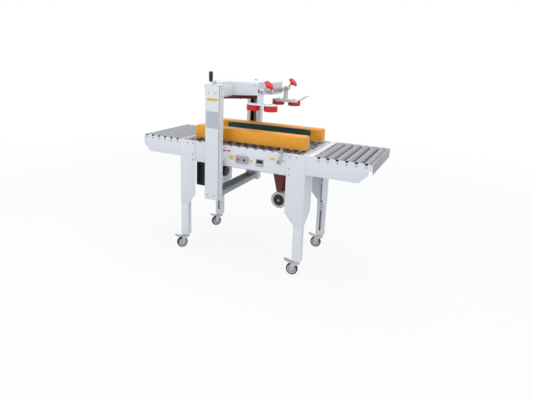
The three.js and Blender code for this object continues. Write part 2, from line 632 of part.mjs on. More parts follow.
['front', 'rear'].forEach((side, i) => {
  const y = CLAMP_PLACES[i];
  add(`press_bracket_${side}`, pressBracket(side === 'rear'), paint, 0, y, 0);
  [-1, 1].forEach((s) => add(`press_roller_${side}_${s < 0 ? 'infeed' : 'outfeed'}`, pressRoller(), red,
    CENTRE + ROD_X + s * PRESS_SPACING / 2, y, 0));
  add(`clamp_knob_${side}`, clampKnob(), red, 0, y, 0);
});

// ---- Side belt drives ----
const HOUSING_OUT = BELT_INNER + HOUSING_THICKNESS;
const HOUSING_TOP = HOUSING_BOTTOM + HOUSING_HEIGHT;
const BELT_END = 78; // covered length at each end of the belt
const BELT_SKIN = 4; // belt proud of the housing on the carton side
const BELT_BOTTOM = HOUSING_BOTTOM + (HOUSING_HEIGHT - BELT_HEIGHT) / 2;
const BELT_TOP = BELT_BOTTOM + BELT_HEIGHT;

function beltHousing() {
  const round = 14;
  const y0 = -HOUSING_OUT;
  const y1 = -BELT_INNER - BELT_SKIN;
  const outline = new THREE.Shape();
  outline.moveTo(HOUSING_X0 + round, y0);
  outline.lineTo(HOUSING_X1 - round, y0);
  outline.absarc(HOUSING_X1 - round, y0 + round, round, -Math.PI / 2, 0, false);
  outline.lineTo(HOUSING_X1, y1);
  outline.lineTo(HOUSING_X0, y1);
  outline.absarc(HOUSING_X0 + round, y0 + round, round, Math.PI, Math.PI * 1.5, false);
  const body = plateXY(outline, HOUSING_BOTTOM, HOUSING_TOP, 5);
  const mouth = block(HOUSING_X0 + BELT_END, HOUSING_X1 - BELT_END, y1 - BELT_DEPTH, y1 + 1,
    BELT_BOTTOM - 4, BELT_TOP + 4);
  const middle = -(BELT_INNER + HOUSING_OUT) / 2;
  const hangers = GUIDE_PLACES.map((x) => cut(
    join(
      block(CENTRE + x - HANGER_THICKNESS / 2, CENTRE + x + HANGER_THICKNESS / 2, middle - 30, middle + 30,
        GUIDE_Z + GUIDE_DIA, HOUSING_BOTTOM + 1),
      block(CENTRE + x - GUIDE_DIA, CENTRE + x + GUIDE_DIA, middle - 30, middle + 30, GUIDE_Z - GUIDE_DIA,
        GUIDE_Z + GUIDE_DIA + 1),
    ),
    bore('y', GUIDE_DIA, middle - 31, middle + 31, CENTRE + x, GUIDE_Z),
  ));
  return join(cut(body, mouth), ...hangers);
}

function driveBelt() {
  const y1 = -BELT_INNER;
  const y0 = -BELT_INNER - BELT_SKIN - BELT_DEPTH + GAP;
  const x0 = HOUSING_X0 + BELT_END + GAP;
  const x1 = HOUSING_X1 - BELT_END - GAP;
  const r = (y1 - y0) / 2;
  const loop = (inset) => {
    const shape = new THREE.Shape();
    shape.absarc(x1 - r, y0 + r, r - inset, -Math.PI / 2, Math.PI / 2, false);
    shape.absarc(x0 + r, y0 + r, r - inset, Math.PI / 2, Math.PI * 1.5, false);
    return plateXY(shape, BELT_BOTTOM - inset, BELT_TOP + inset, 7);
  };
  const pulleys = [x0 + r, x1 - r].map((x) =>
    bar('z', 2 * r - 2, BELT_BOTTOM - 3.5, BELT_TOP + 3.5, x, y0 + r, 14));
  return join(cut(loop(0), loop(4)), ...pulleys);
}

function driveMotor() {
  const y = -(BELT_INNER + HOUSING_OUT) / 2;
  const x = CENTRE + DRIVE_X;
  const box = block(x - GEARBOX[0] / 2, x + GEARBOX[0] / 2, y - GEARBOX[1] / 2, y + GEARBOX[1] / 2,
    GEARBOX_BOTTOM, GEARBOX_BOTTOM + GEARBOX[2]);
  const face = x + GEARBOX[0] / 2;
  const body = bar('x', MOTOR_DIA, face - 1, face + MOTOR_LENGTH, y, MOTOR_Z, 16);
  const shaft = bar('z', 14, GEARBOX_BOTTOM + GEARBOX[2] - 1, HOUSING_BOTTOM - GAP, x, y, 8);
  return join(box, body, shaft);
}

add('belt_housing_front', beltHousing(), orange);
add('belt_housing_rear', otherSide(beltHousing()), orange);
add('drive_belt_front', driveBelt(), green);
add('drive_belt_rear', otherSide(driveBelt()), green);
add('drive_motor_front', driveMotor(), black);

// ---- Lower tape head ----
function lowerTapeHead() {
  const half = TAPE_UNIT_WIDTH / 2;
  const x = CENTRE + ROLL_X;
  const top = ROLL_TOP - 16;
  const cheek = plateXZ([
    [CENTRE - 150, 660], [x - 70, 640], [x - 46, 600], [x - 12, ROLL_Z - 12], [x + 12, ROLL_Z - 12],
    [x + 44, 600], [x + 44, 660], [CENTRE + 240, 690], [CENTRE + 240, top], [CENTRE - 150, top],
  ], -half, -half + TAPE_PLATE);
  const crossBars = [[-120, top - 14, 30], [205, top - 14, 30], [-20, 700, 22], [90, 690, 22]];
  const cross = crossBars.map(([a, z, dia]) => bar('y', dia, -half + 1, half - 1, CENTRE + a, z, 12));
  const axle = bar('y', 16, -half + 1, half - 1, x, ROLL_Z, 12);
  const earReach = BED_RAIL_INNER - BED_RAIL_THICKNESS - GAP;
  const ears = block(CENTRE - 146, CENTRE + 236, -earReach, earReach, 718, 726);
  return join(cheek, otherSide(cheek), axle, ears, ...cross);
}

function tapeRoll() {
  const hub = 9;
  const r = ROLL_DIA / 2;
  const core = ROLL_CORE_DIA / 2;
  const w = ROLL_WIDTH / 2;
  const profile = [
    [hub, -w - 4], [core, -w - 4], [core, -w], [r, -w], [r, w],
    [core, w], [core, w + 4], [hub, w + 4], [hub, -w - 4],
  ];
  return toManifold(new THREE.LatheGeometry(profile.map(([a, b]) => new THREE.Vector2(a, b)), 20));
}

add('lower_tape_head', lowerTapeHead(), maroon);
add('lower_tape_roll', tapeRoll(), tape, CENTRE + ROLL_X, 0, ROLL_Z);

// ---- Switches and width crank ----
const BUTTON_SPACING = 42;
const SWITCH_BACK = -PANEL_FACE - GAP;

function switchBox() {
  const [w, d, h] = SWITCH_BOX;
  const x = CENTRE + SWITCH_X;
  const holes = [-1, 1].map((s) => bore('y', BUTTON_DIA, SWITCH_BACK - d - 1, SWITCH_BACK + 1,
    x + s * BUTTON_SPACING / 2, SWITCH_Z));
  const body = block(x - w / 2, x + w / 2, SWITCH_BACK - d, SWITCH_BACK, SWITCH_Z - h / 2, SWITCH_Z + h / 2);
  return cut(body, ...holes);
}

function button() {
  return bar('y', BUTTON_DIA, SWITCH_BACK - SWITCH_BOX[1] - 6, SWITCH_BACK - 6, 0, 0);
}

function widthCrank() {
  const out = -PANEL_FACE - GAP;
  const shaft = bar('y', AXLE_DIA, out - 14, -PANEL_INSIDE + 12, 0, 0, 16);
  const arm = block(-7, 7, out - 14, out - 8, 0, WIDTH_CRANK_REACH);
  const boss = bar('y', 22, out - 14, out, 0, 0, 16);
  const grip = bar('y', 18, out - 58, out - 8, 0, WIDTH_CRANK_REACH, 16);
  return join(shaft, arm, boss, grip).rotate([0, 16, 0]);
}

add('switch_box', switchBox(), grey);
add('stop_button', button(), red, CENTRE + SWITCH_X - BUTTON_SPACING / 2, 0, SWITCH_Z);
add('start_button', button(), black, CENTRE + SWITCH_X + BUTTON_SPACING / 2, 0, SWITCH_Z);
add('width_crank', widthCrank(), zinc, CENTRE + WIDTH_CRANK_X, 0, WIDTH_CRANK_Z);

export default machine;
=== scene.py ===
"""Looks of the side-belt carton sealer, built around its packed frame.

Every piece is drawn in place, in millimetres, and scaled to metres when it is done. It rides on the body
of the frame it belongs to. The camera, the lamps and the floor are in metres.
"""

import json
import math

import bmesh
import bpy
from bpy.props import FloatProperty, FloatVectorProperty, IntProperty, PointerProperty
from mathutils import Matrix, Vector

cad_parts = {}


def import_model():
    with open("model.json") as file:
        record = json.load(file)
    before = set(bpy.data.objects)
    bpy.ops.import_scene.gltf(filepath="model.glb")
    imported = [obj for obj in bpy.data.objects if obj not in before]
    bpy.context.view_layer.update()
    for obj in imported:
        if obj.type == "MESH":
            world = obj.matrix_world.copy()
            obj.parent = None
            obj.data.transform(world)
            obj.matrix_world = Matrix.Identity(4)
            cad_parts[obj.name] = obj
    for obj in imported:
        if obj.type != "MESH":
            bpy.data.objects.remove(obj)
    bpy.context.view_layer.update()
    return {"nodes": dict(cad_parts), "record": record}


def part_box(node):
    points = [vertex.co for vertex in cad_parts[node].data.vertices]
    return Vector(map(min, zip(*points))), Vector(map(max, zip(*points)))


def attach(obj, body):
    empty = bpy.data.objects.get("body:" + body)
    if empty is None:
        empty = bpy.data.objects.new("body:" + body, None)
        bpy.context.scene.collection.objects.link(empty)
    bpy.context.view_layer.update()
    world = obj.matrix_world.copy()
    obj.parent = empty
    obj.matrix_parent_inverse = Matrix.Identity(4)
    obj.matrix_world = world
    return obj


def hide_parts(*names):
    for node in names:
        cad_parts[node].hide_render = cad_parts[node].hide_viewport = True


bl_info = {
    "name": "Carton Sealer",
    "version": (1, 0, 0),
    "blender": (4, 5, 0),
    "location": "3D View > Sidebar > Carton Sealer",
    "description": "Builds a side-belt carton sealer piece by piece",
    "category": "Add Mesh",
}

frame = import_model()
RECORD = frame["record"]
BODY_OF = {node: body for body, nodes in RECORD["behaviour"]["bodies"].items() for node in nodes}
JOINTS = {joint["name"]: joint for joint in RECORD["behaviour"]["joints"]}

MM = 0.001
SAME_SPOT = 0.001  # millimetres
CORNERS = ("front_left", "front_right", "rear_left", "rear_right")
SIDES = ("front", "rear")
ENDS = ("infeed", "outfeed")
TABLE_ROLLERS = [f"{end}_roller_{i}" for end in ENDS for i in range(1, 7)]
PLANES = {
    "xy": Matrix(((1, 0, 0, 0), (0, 1, 0, 0), (0, 0, 1, 0), (0, 0, 0, 1))),
    "xz": Matrix(((1, 0, 0, 0), (0, 0, -1, 0), (0, 1, 0, 0), (0, 0, 0, 1))),
    "yz": Matrix(((0, 0, 1, 0), (1, 0, 0, 0), (0, 1, 0, 0), (0, 0, 0, 1))),
}
ALONG = {
    "x": Matrix.Rotation(math.pi / 2, 4, "Y"),
    "y": Matrix.Rotation(-math.pi / 2, 4, "X"),
    "z": Matrix.Identity(4),
}


# ---------------------------------------------------------------- settings
def colour(name, description, default):
    return FloatVectorProperty(name=name, description=description, subtype="COLOR", size=3, min=0, max=1,
                               default=default)


def length(name, description, default):
    return FloatProperty(name=name, description=description, default=default, min=0, unit="LENGTH")


class SealerColours(bpy.types.PropertyGroup):
    """Colours of the finishes."""

    white: colour("White paint", "Powder coat of frame, columns and head", (0.79, 0.82, 0.865))
    orange: colour("Orange paint", "Powder coat of the belt housings", (0.88, 0.375, 0.022))
    grey: colour("Grey paint", "Paint of the crossbar and the switch plate", (0.40, 0.42, 0.45))
    maroon: colour("Maroon paint", "Paint of the tape heads", (0.16, 0.004, 0.012))
    black: colour("Black paint", "Paint of the drive motor", (0.012, 0.012, 0.013))
    roller: colour("Roller steel", "Plated steel of rollers and rods", (0.36, 0.36, 0.39))
    zinc: colour("Zinc plate", "Plated steel of casters and screws", (0.52, 0.53, 0.55))
    rubber: colour("Tyre rubber", "Caster tyres", (0.010, 0.010, 0.011))
    plastic: colour("Black plastic", "Grips, caps and button", (0.008, 0.008, 0.009))
    hub: colour("Hub plastic", "Caster hubs", (0.60, 0.61, 0.63))
    red: colour("Red plastic", "Press rollers, knobs and button", (0.68, 0.012, 0.012))
    belt: colour("Belt green", "Woven face of the side belts", (0.006, 0.055, 0.045))
    tape: colour("Tape film", "Wound film of the tape roll", (0.62, 0.62, 0.58))
    mark: colour("Blank mark", "Plain yellow patches", (0.80, 0.52, 0.02))


class SealerSizes(bpy.types.PropertyGroup):
    """Sizes of the details that the frame leaves open."""

    screw_head: length("Screw head", "Diameter of the button heads", 13 * MM)
    small_screw: length("Small screw head", "Diameter of the small button heads", 9 * MM)
    roller_wall: length("Roller wall", "Wall of the roller tubes", 1.5 * MM)
    bed_pitch: length("Bed pitch", "Distance between bed rollers", 60 * MM)
    bed_count: IntProperty(name="Bed rollers", description="Rollers in each bank of the bed",
                           default=15, min=2)
    grip_ring: length("Grip ring", "Pitch of the rings on the crank grip", 6.5 * MM)


def colours():
    return bpy.context.scene.sealer_colours


def size(key):
    """A length from the panel, in millimetres."""
    return getattr(bpy.context.scene.sealer_sizes, key) / MM


# ---------------------------------------------------------------- shader maths
class Value:
    """A shader socket that arithmetic can be written on."""

    def __init__(self, finish, socket):
        self.finish = finish
        self.socket = socket

    def _math(self, operation, first, second):
        return self.finish.node("ShaderNodeMath", {"operation": operation}, {0: first, 1: second}).out()

    def __add__(self, other):
        return self._math("ADD", self, other)

    def __radd__(self, other):
        return self._math("ADD", other, self)

    def __rsub__(self, other):
        return self._math("SUBTRACT", other, self)

    def __mul__(self, other):
        return self._math("MULTIPLY", self, other)

    def __rmul__(self, other):
        return self._math("MULTIPLY", other, self)


class Made:
    """A node just made, and its outputs."""

    def __init__(self, finish, node):
        self.finish = finish
        self.node = node

    def out(self, key=0):
        return Value(self.finish, self.node.outputs[key])


class Finish:
    """A material under construction."""

    def __init__(self, name):
        self.material = bpy.data.materials.new(name)
        self.material.use_nodes = True
        self.tree = self.material.node_tree
        self.shader = self.tree.nodes["Principled BSDF"]
        self.place = self.node("ShaderNodeTexCoord").out("Object")

    def node(self, kind, set_first=None, inputs=None):
        node = self.tree.nodes.new(kind)
        for key, value in (set_first or {}).items():
            setattr(node, key, value)
        for key, value in (inputs or {}).items():
            self.put(node.inputs[key], value)
        return Made(self, node)

    def put(self, socket, value):
        if isinstance(value, Value):
            self.tree.links.new(value.socket, socket)
        else:
            socket.default_value = value

    def set(self, **sockets):
        for key, value in sockets.items():
            self.put(self.shader.inputs[key.replace("_", " ")], value)

    def noise(self, scale, detail=3.0, roughness=0.5, stretch=None):
        where = self.place
        if stretch:
            where = self.node("ShaderNodeMapping", None, {"Vector": where, "Scale": stretch}).out()
        inputs = {"Vector": where, "Scale": scale, "Detail": detail, "Roughness": roughness}
        return self.node("ShaderNodeTexNoise", None, inputs).out("Fac")

    def mask(self, value, low, high):
        inputs = {"Value": value, "From Min": low, "From Max": high}
        return self.node("ShaderNodeMapRange", {"interpolation_type": "SMOOTHSTEP"}, inputs).out("Result")

    def mix(self, factor, first, second):
        node = self.tree.nodes.new("ShaderNodeMix")
        node.data_type = "RGBA"
        for index, value in ((0, factor), (6, first), (7, second)):
            self.put(node.inputs[index], value)
        return Value(self, node.outputs[2])

    def bump(self, height, strength, distance):
        inputs = {"Height": height, "Strength": strength, "Distance": distance}
        self.set(Normal=self.node("ShaderNodeBump", None, inputs).out("Normal"))


def shade(rgb, factor):
    return tuple(min(1.0, c * factor) for c in rgb) + (1.0,)


def painted(name, rgb, roughness=0.42, dirt=0.06):
    """Powder coat: faint orange peel, a little dust and rubbed patches."""
    finish = Finish(name)
    broad = finish.noise(7.0, 4.0, 0.6)
    dust = finish.mask(finish.noise(34.0, 5.0, 0.65), 0.52, 0.80)
    base = finish.mix(broad, shade(rgb, 0.965), shade(rgb, 1.03))
    finish.set(Base_Color=finish.mix(dust * dirt, base, shade(rgb, 0.72)))
    finish.set(Roughness=roughness + 0.10 * broad + 0.12 * dust)
    finish.bump(finish.noise(1100.0, 2.0, 0.5), 0.10, 0.15 * MM)
    return finish.material


def plated(name, rgb, roughness=0.34, stretch=None):
    """Plated or drawn steel: streaks along one direction and dull patches."""
    finish = Finish(name)
    streak = finish.noise(60.0, 5.0, 0.7, stretch or (1.0, 1.0, 1.0))
    dull = finish.mask(finish.noise(22.0, 3.0, 0.6), 0.45, 0.75)
    finish.set(Base_Color=finish.mix(streak, shade(rgb, 0.82), shade(rgb, 1.16)))
    finish.set(Metallic=0.9 - 0.25 * dull)
    finish.set(Roughness=roughness + 0.12 * streak + 0.10 * dull)
    finish.bump(streak, 0.12, 0.05 * MM)
    return finish.material


def moulded(name, rgb, roughness=0.38, grain=0.08):
    """Moulded plastic: fine grain and faint rubbed patches."""
    finish = Finish(name)
    rub = finish.mask(finish.noise(45.0, 3.0, 0.6), 0.5, 0.8)
    finish.set(Base_Color=finish.mix(rub, shade(rgb, 1.0), shade(rgb, 1.25)))
    finish.set(Roughness=roughness + 0.15 * rub)
    finish.bump(finish.noise(1600.0, 2.0), grain, 0.1 * MM)
    return finish.material


def rubber(name, rgb):
    """Tyre rubber: matte, with dust pressed into the tread."""
    finish = Finish(name)
    dust = finish.mask(finish.noise(90.0, 4.0, 0.7), 0.50, 0.78)
    finish.set(Base_Color=finish.mix(dust * 0.35, shade(rgb, 1.0), (0.10, 0.10, 0.095, 1)))
    finish.set(Roughness=0.62 + 0.2 * dust)
    finish.bump(finish.noise(900.0, 3.0), 0.15, 0.15 * MM)
    return finish.material


def woven(name, rgb):
    """Belt face: a fine diamond weave with worn, dusty patches."""
    finish = Finish(name)
    lines = []
    for direction in ((1.0, 0.0, 1.0), (1.0, 0.0, -1.0)):
        along = finish.node("ShaderNodeVectorMath", {"operation": "DOT_PRODUCT"},
                            {0: finish.place, 1: direction}).out("Value")
        lines.append(finish.node("ShaderNodeMath", {"operation": "SINE"}, {0: along * 900.0}).out())
    weave = lines[0] * lines[1] * 0.5 + 0.5
    worn = finish.mask(finish.noise(26.0, 4.0, 0.65), 0.48, 0.80)
    base = finish.mix(weave, shade(rgb, 0.7), shade(rgb, 1.3))
    finish.set(Base_Color=finish.mix(worn * 0.35, base, shade(rgb, 3.0)))
    finish.set(Roughness=0.72 + 0.15 * worn)
    finish.bump(weave, 0.35, 0.3 * MM)
    return finish.material


def film(name, rgb):
    """Wound tape: rings on the cut sides, seen through glossy film."""
    finish = Finish(name)
    wound = finish.noise(420.0, 2.0, 0.5)
    finish.set(Base_Color=finish.mix(wound, shade(rgb, 0.85), shade(rgb, 1.1)))
    finish.set(Roughness=0.22 + 0.2 * wound)
    finish.shader.inputs["Coat Weight"].default_value = 0.25
    finish.bump(wound, 0.15, 0.1 * MM)
    return finish.material


def make_finishes():
    tones = colours()
    return {
        "white_paint": painted("white_powder_coat", tones.white),
        "orange_paint": painted("orange_powder_coat", tones.orange, 0.40, 0.10),
        "grey_paint": painted("grey_paint", tones.grey, 0.45, 0.15),
        "maroon_paint": painted("maroon_paint", tones.maroon, 0.40, 0.10),
        "black_paint": painted("black_paint", tones.black, 0.42, 0.20),
        "roller_steel": plated("plated_roller", tones.roller, 0.42, (0.15, 4.0, 0.15)),
        "zinc_plate": plated("zinc_plate", tones.zinc, 0.36),
        "screw_steel": plated("screw_steel", tones.zinc, 0.30),
        "black_tyre": rubber("tyre_rubber", tones.rubber),
        "black_plastic": moulded("black_plastic", tones.plastic, 0.42, 0.15),
        "hub_plastic": moulded("hub_plastic", tones.hub, 0.45),
        "red_plastic": moulded("red_plastic", tones.red, 0.34),
        "green_belt": woven("woven_belt", tones.belt),
        "tape_film": film("tape_film", tones.tape),
        "blank_mark": moulded("blank_mark", tones.mark, 0.5),
        # painted shade: near-black paint that stands in for the shade inside the hollow column
        "painted_shade_inside": painted("painted_recess_shade", (0.03, 0.03, 0.032), 0.6, 0.2),
        "blank_plate": painted("blank_plate", (0.52, 0.55, 0.60), 0.38, 0.25),
        "cream_plastic": moulded("cream_plastic", (0.62, 0.55, 0.40), 0.45),
    }


FINISHES = {}


# ---------------------------------------------------------------- shapes
def to_mesh(bm, name="part"):
    bmesh.ops.remove_doubles(bm, verts=bm.verts, dist=SAME_SPOT)
    bmesh.ops.recalc_face_normals(bm, faces=bm.faces)
    mesh = bpy.data.meshes.new(name)
    bm.to_mesh(mesh)
    bm.free()
    return mesh


def block(lo, hi, edge=0.8, steps=2):
    """A box with rounded edges."""
    lo, hi = Vector(lo), Vector(hi)
    bm = bmesh.new()
    bmesh.ops.create_cube(bm, size=1)
    for vertex in bm.verts:
        vertex.co = Vector(a + (c + 0.5) * (b - a) for a, b, c in zip(lo, hi, vertex.co))
    edge = min(edge, 0.4 * min(hi - lo))
    bmesh.ops.bevel(bm, geom=bm.edges[:], offset=edge, segments=steps, profile=0.5, affect="EDGES")
    return to_mesh(bm)


def lathe(profile, centre=(0, 0, 0), axis="z", steps=40, closed=False):
    """A turned solid: radius and height points round an axis. A closed profile never meets the axis."""
    bm = bmesh.new()
    rings = []
    for radius, height in profile:
        count = steps if radius > SAME_SPOT else 1
        turn = 2 * math.pi / count
        rings.append([bm.verts.new((radius * math.cos(i * turn), radius * math.sin(i * turn), height))
                      for i in range(count)])
    pairs = list(zip(rings, rings[1:]))
    if closed:
        pairs.append((rings[-1], rings[0]))
    for one, two in pairs:
        if len(one) == len(two) == 1:
            continue
        for i in range(steps):
            j = (i + 1) % steps
            corners = [one[i % len(one)], one[j % len(one)], two[j % len(two)], two[i % len(two)]]
            bm.faces.new(list(dict.fromkeys(corners)))
    bmesh.ops.transform(bm, matrix=Matrix.Translation(Vector(centre)) @ ALONG[axis], verts=bm.verts)
    return to_mesh(bm)


def rod(radius, start, end, centre, axis="z", steps=32, edge=0.6):
    """A round bar with eased ends, from start to end along its axis."""
    edge = min(edge, radius * 0.5, abs(end - start) * 0.4)
    profile = [(0, start), (radius - edge, start), (radius, start + edge), (radius, end - edge),
               (radius - edge, end), (0, end)]
    return lathe(profile, centre, axis, steps)


def tube(outer, inner, start, end, centre, axis="z", steps=32, edge=0.5):
    """A round tube with eased ends."""
    profile = [(inner, start), (outer - edge, start), (outer, start + edge), (outer, end - edge),
               (outer - edge, end), (inner, end)]
    return lathe(profile, centre, axis, steps, closed=True)


def both_ways(profile):
    """The profile, then its mirror image back to the start."""
    return profile + [(radius, -height) for radius, height in reversed(profile)]


def arc(cx, cy, radius, start, end, steps=8):
    turn = math.radians(end - start) / steps
    first = math.radians(start)
    return [(cx + radius * math.cos(first + i * turn), cy + radius * math.sin(first + i * turn))
            for i in range(steps + 1)]


def circle(cx, cy, radius, steps=28):
    return arc(cx, cy, radius, 0, 360, steps)[:-1]


def slot_hole(cx, cy, long, wide):
    """A slot with round ends, long along the second axis."""
    reach = (long - wide) / 2
    return arc(cx, cy + reach, wide / 2, 0, 180) + arc(cx, cy - reach, wide / 2, 180, 360)


def rounded(points, radius, steps=5):
    """The outline with its corners rounded. The radius is one number, or one for each corner."""
    radii = radius if isinstance(radius, (list, tuple)) else [radius] * len(points)
    result = []
    for i, point in enumerate(points):
        here = Vector(point)
        before = Vector(points[i - 1]) - here
        after = Vector(points[(i + 1) % len(points)]) - here
        r = radii[i]
        if r < SAME_SPOT:
            result.append(tuple(here))
            continue
        half = before.angle(after) / 2
        reach = min(r / math.tan(half), 0.49 * before.length, 0.49 * after.length)
        start, end = here + before.normalized() * reach, here + after.normalized() * reach
        for step in range(steps + 1):
            t = step / steps
            result.append(tuple((1 - t) ** 2 * start + 2 * t * (1 - t) * here + t ** 2 * end))
    return result


def rectangle(x0, y0, x1, y1, radius=0.0):
    points = [(x0, y0), (x1, y0), (x1, y1), (x0, y1)]
    return rounded(points, radius) if radius else points


def plate(outline, plane, near, far, holes=(), edge=0.5):
    """A flat plate with eased edges, from near to far across its plane. Holes go right through."""
    curve = bpy.data.curves.new("outline", "CURVE")
    curve.dimensions = "2D"
    curve.fill_mode = "BOTH"
    edge = min(edge, 0.4 * (far - near))
    curve.extrude = (far - near) / 2 - edge
    curve.bevel_depth = edge
    curve.bevel_resolution = 1
    curve.offset = -edge
    for points in (outline, *holes):
        spline = curve.splines.new("POLY")
        spline.points.add(len(points) - 1)
        for spot, (u, v) in zip(spline.points, points):
            spot.co = (u, v, 0, 1)
        spline.use_cyclic_u = True
    holder = bpy.data.objects.new("outline", curve)
    mesh = bpy.data.meshes.new_from_object(holder)
    bpy.data.objects.remove(holder)
    bpy.data.curves.remove(curve)
    bm = bmesh.new()
    bm.from_mesh(mesh)
    bpy.data.meshes.remove(mesh)
    level = (near + far) / 2
    across = {"xy": (0, 0, level), "xz": (0, level, 0), "yz": (level, 0, 0)}[plane]
    bmesh.ops.transform(bm, matrix=Matrix.Translation(across) @ PLANES[plane], verts=bm.verts)
    return to_mesh(bm)


def copy_of(node, edge=0.8, sharp=25):
    """The node's own solid with its sharp edges eased."""
    bm = bmesh.new()
    bm.from_mesh(frame["nodes"][node].data)
    bm.transform(Matrix.Scale(1 / MM, 4))
    bmesh.ops.remove_doubles(bm, verts=bm.verts, dist=20 * SAME_SPOT)
    bmesh.ops.dissolve_limit(bm, angle_limit=math.radians(1.0), verts=bm.verts, edges=bm.edges)
    folds = [e for e in bm.edges if len(e.link_faces) == 2 and e.calc_face_angle(0) > math.radians(sharp)]
    bmesh.ops.bevel(bm, geom=folds, offset=edge, segments=2, profile=0.5, affect="EDGES", clamp_overlap=True)
    return to_mesh(bm)


SHARP = 32  # degrees: edges that fold more than this are shaded sharp


class Piece:
    """Gathers the parts of one piece, each in its own finish, and makes the object."""

    def __init__(self, name):
        self.name = name
        self.bm = bmesh.new()
        self.finishes = []

    def number_of(self, finish):
        if finish not in self.finishes:
            self.finishes.append(finish)
        return self.finishes.index(finish)

    def add(self, mesh, finish, matrix=None):
        index = self.number_of(finish)
        if matrix is not None:
            mesh.transform(matrix)
            if matrix.determinant() < 0:
                mesh.flip_normals()
        count = len(self.bm.faces)
        self.bm.from_mesh(mesh)
        self.bm.faces.ensure_lookup_table()
        for face in self.bm.faces[count:]:
            face.material_index = index
        bpy.data.meshes.remove(mesh)

    def done(self, body, replaces=()):
        mesh = bpy.data.meshes.new(self.name)
        self.bm.transform(Matrix.Scale(MM, 4))
        self.bm.to_mesh(mesh)
        self.bm.free()
        for finish in self.finishes:
            mesh.materials.append(FINISHES[finish])
        mesh.shade_smooth()
        mesh.set_sharp_from_angle(angle=math.radians(SHARP))
        piece = bpy.data.objects.new(self.name, mesh)
        bpy.context.scene.collection.objects.link(piece)
        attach(piece, body)
        if replaces:
            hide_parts(*replaces)


def box(node):
    """The low and the high corner of a frame node."""
    lo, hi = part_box(node)
    return lo / MM, hi / MM


def corners_of(node):
    """x0, y0, z0, x1, y1, z1 of a frame node."""
    lo, hi = box(node)
    return (*lo, *hi)


def middle(node):
    lo, hi = box(node)
    return (lo + hi) / 2


def pin_of(joint):
    return Vector(JOINTS[joint]["pos_m"]) / MM


# ---------------------------------------------------------------- geometry nodes
def new_tree(name, sockets):
    tree = bpy.data.node_groups.new(name, "GeometryNodeTree")
    tree.interface.new_socket("Geometry", in_out="INPUT", socket_type="NodeSocketGeometry")
    for label, kind in sockets:
        tree.interface.new_socket(label, in_out="INPUT", socket_type=kind)
    tree.interface.new_socket("Geometry", in_out="OUTPUT", socket_type="NodeSocketGeometry")
    return tree, tree.nodes.new("NodeGroupInput"), tree.nodes.new("NodeGroupOutput")


def finish_tree(tree, source, points, instance, rotation, result):
    """Puts an object on the points, makes it real and gives it its finish."""
    link = tree.links.new
    info = tree.nodes.new("GeometryNodeObjectInfo")
    place = tree.nodes.new("GeometryNodeInstanceOnPoints")
    real = tree.nodes.new("GeometryNodeRealizeInstances")
    paint = tree.nodes.new("GeometryNodeSetMaterial")
    link(source.outputs[instance], info.inputs["Object"])
    link(points, place.inputs["Points"])
    link(info.outputs["Geometry"], place.inputs["Instance"])
    if rotation is not None:
        link(rotation, place.inputs["Rotation"])
    link(source.outputs["Size"], place.inputs["Scale"])
    link(place.outputs[0], real.inputs[0])
    link(real.outputs[0], paint.inputs["Geometry"])
    link(source.outputs["Finish"], paint.inputs["Material"])
    link(paint.outputs[0], result.inputs[0])
    return tree


def row_tree():
    """Copies of an object in a straight row."""
    sockets = [("Object", "NodeSocketObject"), ("Count", "NodeSocketInt"), ("Step", "NodeSocketVector"),
               ("Size", "NodeSocketFloat"), ("Finish", "NodeSocketMaterial")]
    tree, source, result = new_tree("row_of_pieces", sockets)
    line = tree.nodes.new("GeometryNodeMeshLine")
    line.mode = "OFFSET"
    tree.links.new(source.outputs["Count"], line.inputs["Count"])
    tree.links.new(source.outputs["Step"], line.inputs["Offset"])
    return finish_tree(tree, source, line.outputs[0], "Object", None, result)


def scatter_tree():
    """An object on every point of a mesh, its own Z axis along the point's facing."""
    sockets = [("Object", "NodeSocketObject"), ("Size", "NodeSocketFloat"), ("Finish", "NodeSocketMaterial")]
    tree, source, result = new_tree("screws_on_points", sockets)
    facing = tree.nodes.new("GeometryNodeInputNamedAttribute")
    facing.data_type = "FLOAT_VECTOR"
    facing.inputs["Name"].default_value = "facing"
    turn = tree.nodes.new("FunctionNodeAlignRotationToVector")
    turn.axis = "Z"
    tree.links.new(facing.outputs[0], turn.inputs["Vector"])
    return finish_tree(tree, source, source.outputs["Geometry"], "Object", turn.outputs[0], result)


def grown(name, holder_mesh, tree, values):
    """The tree's result as a plain mesh."""
    holder = bpy.data.objects.new(name, holder_mesh)
    bpy.context.scene.collection.objects.link(holder)
    modifier = holder.modifiers.new("build", "NODES")
    modifier.node_group = tree
    for item in tree.interface.items_tree:
        if item.in_out == "INPUT" and item.name in values:
            modifier[item.identifier] = values[item.name]
    depsgraph = bpy.context.evaluated_depsgraph_get()
    mesh = bpy.data.meshes.new_from_object(holder.evaluated_get(depsgraph))
    bpy.data.objects.remove(holder)
    return mesh


def template(name, mesh):
    """An object that geometry nodes copy. It isn't shown."""
    thing = bpy.data.objects.new(name, mesh)
    bpy.context.scene.collection.objects.link(thing)
    return thing


def row_of(mesh, start, step, count, finish):
    """Copies of a mesh in a row, as one mesh with the finish."""
    thing = template("row_template", mesh)
    values = {"Object": thing, "Count": count, "Step": Vector(step), "Size": 1.0, "Finish": FINISHES[finish]}
    made = grown("row", bpy.data.meshes.new("row"), TREES["row"], values)
    made.transform(Matrix.Translation(Vector(start)))
    bpy.data.objects.remove(thing)
    return made


TREES = {}


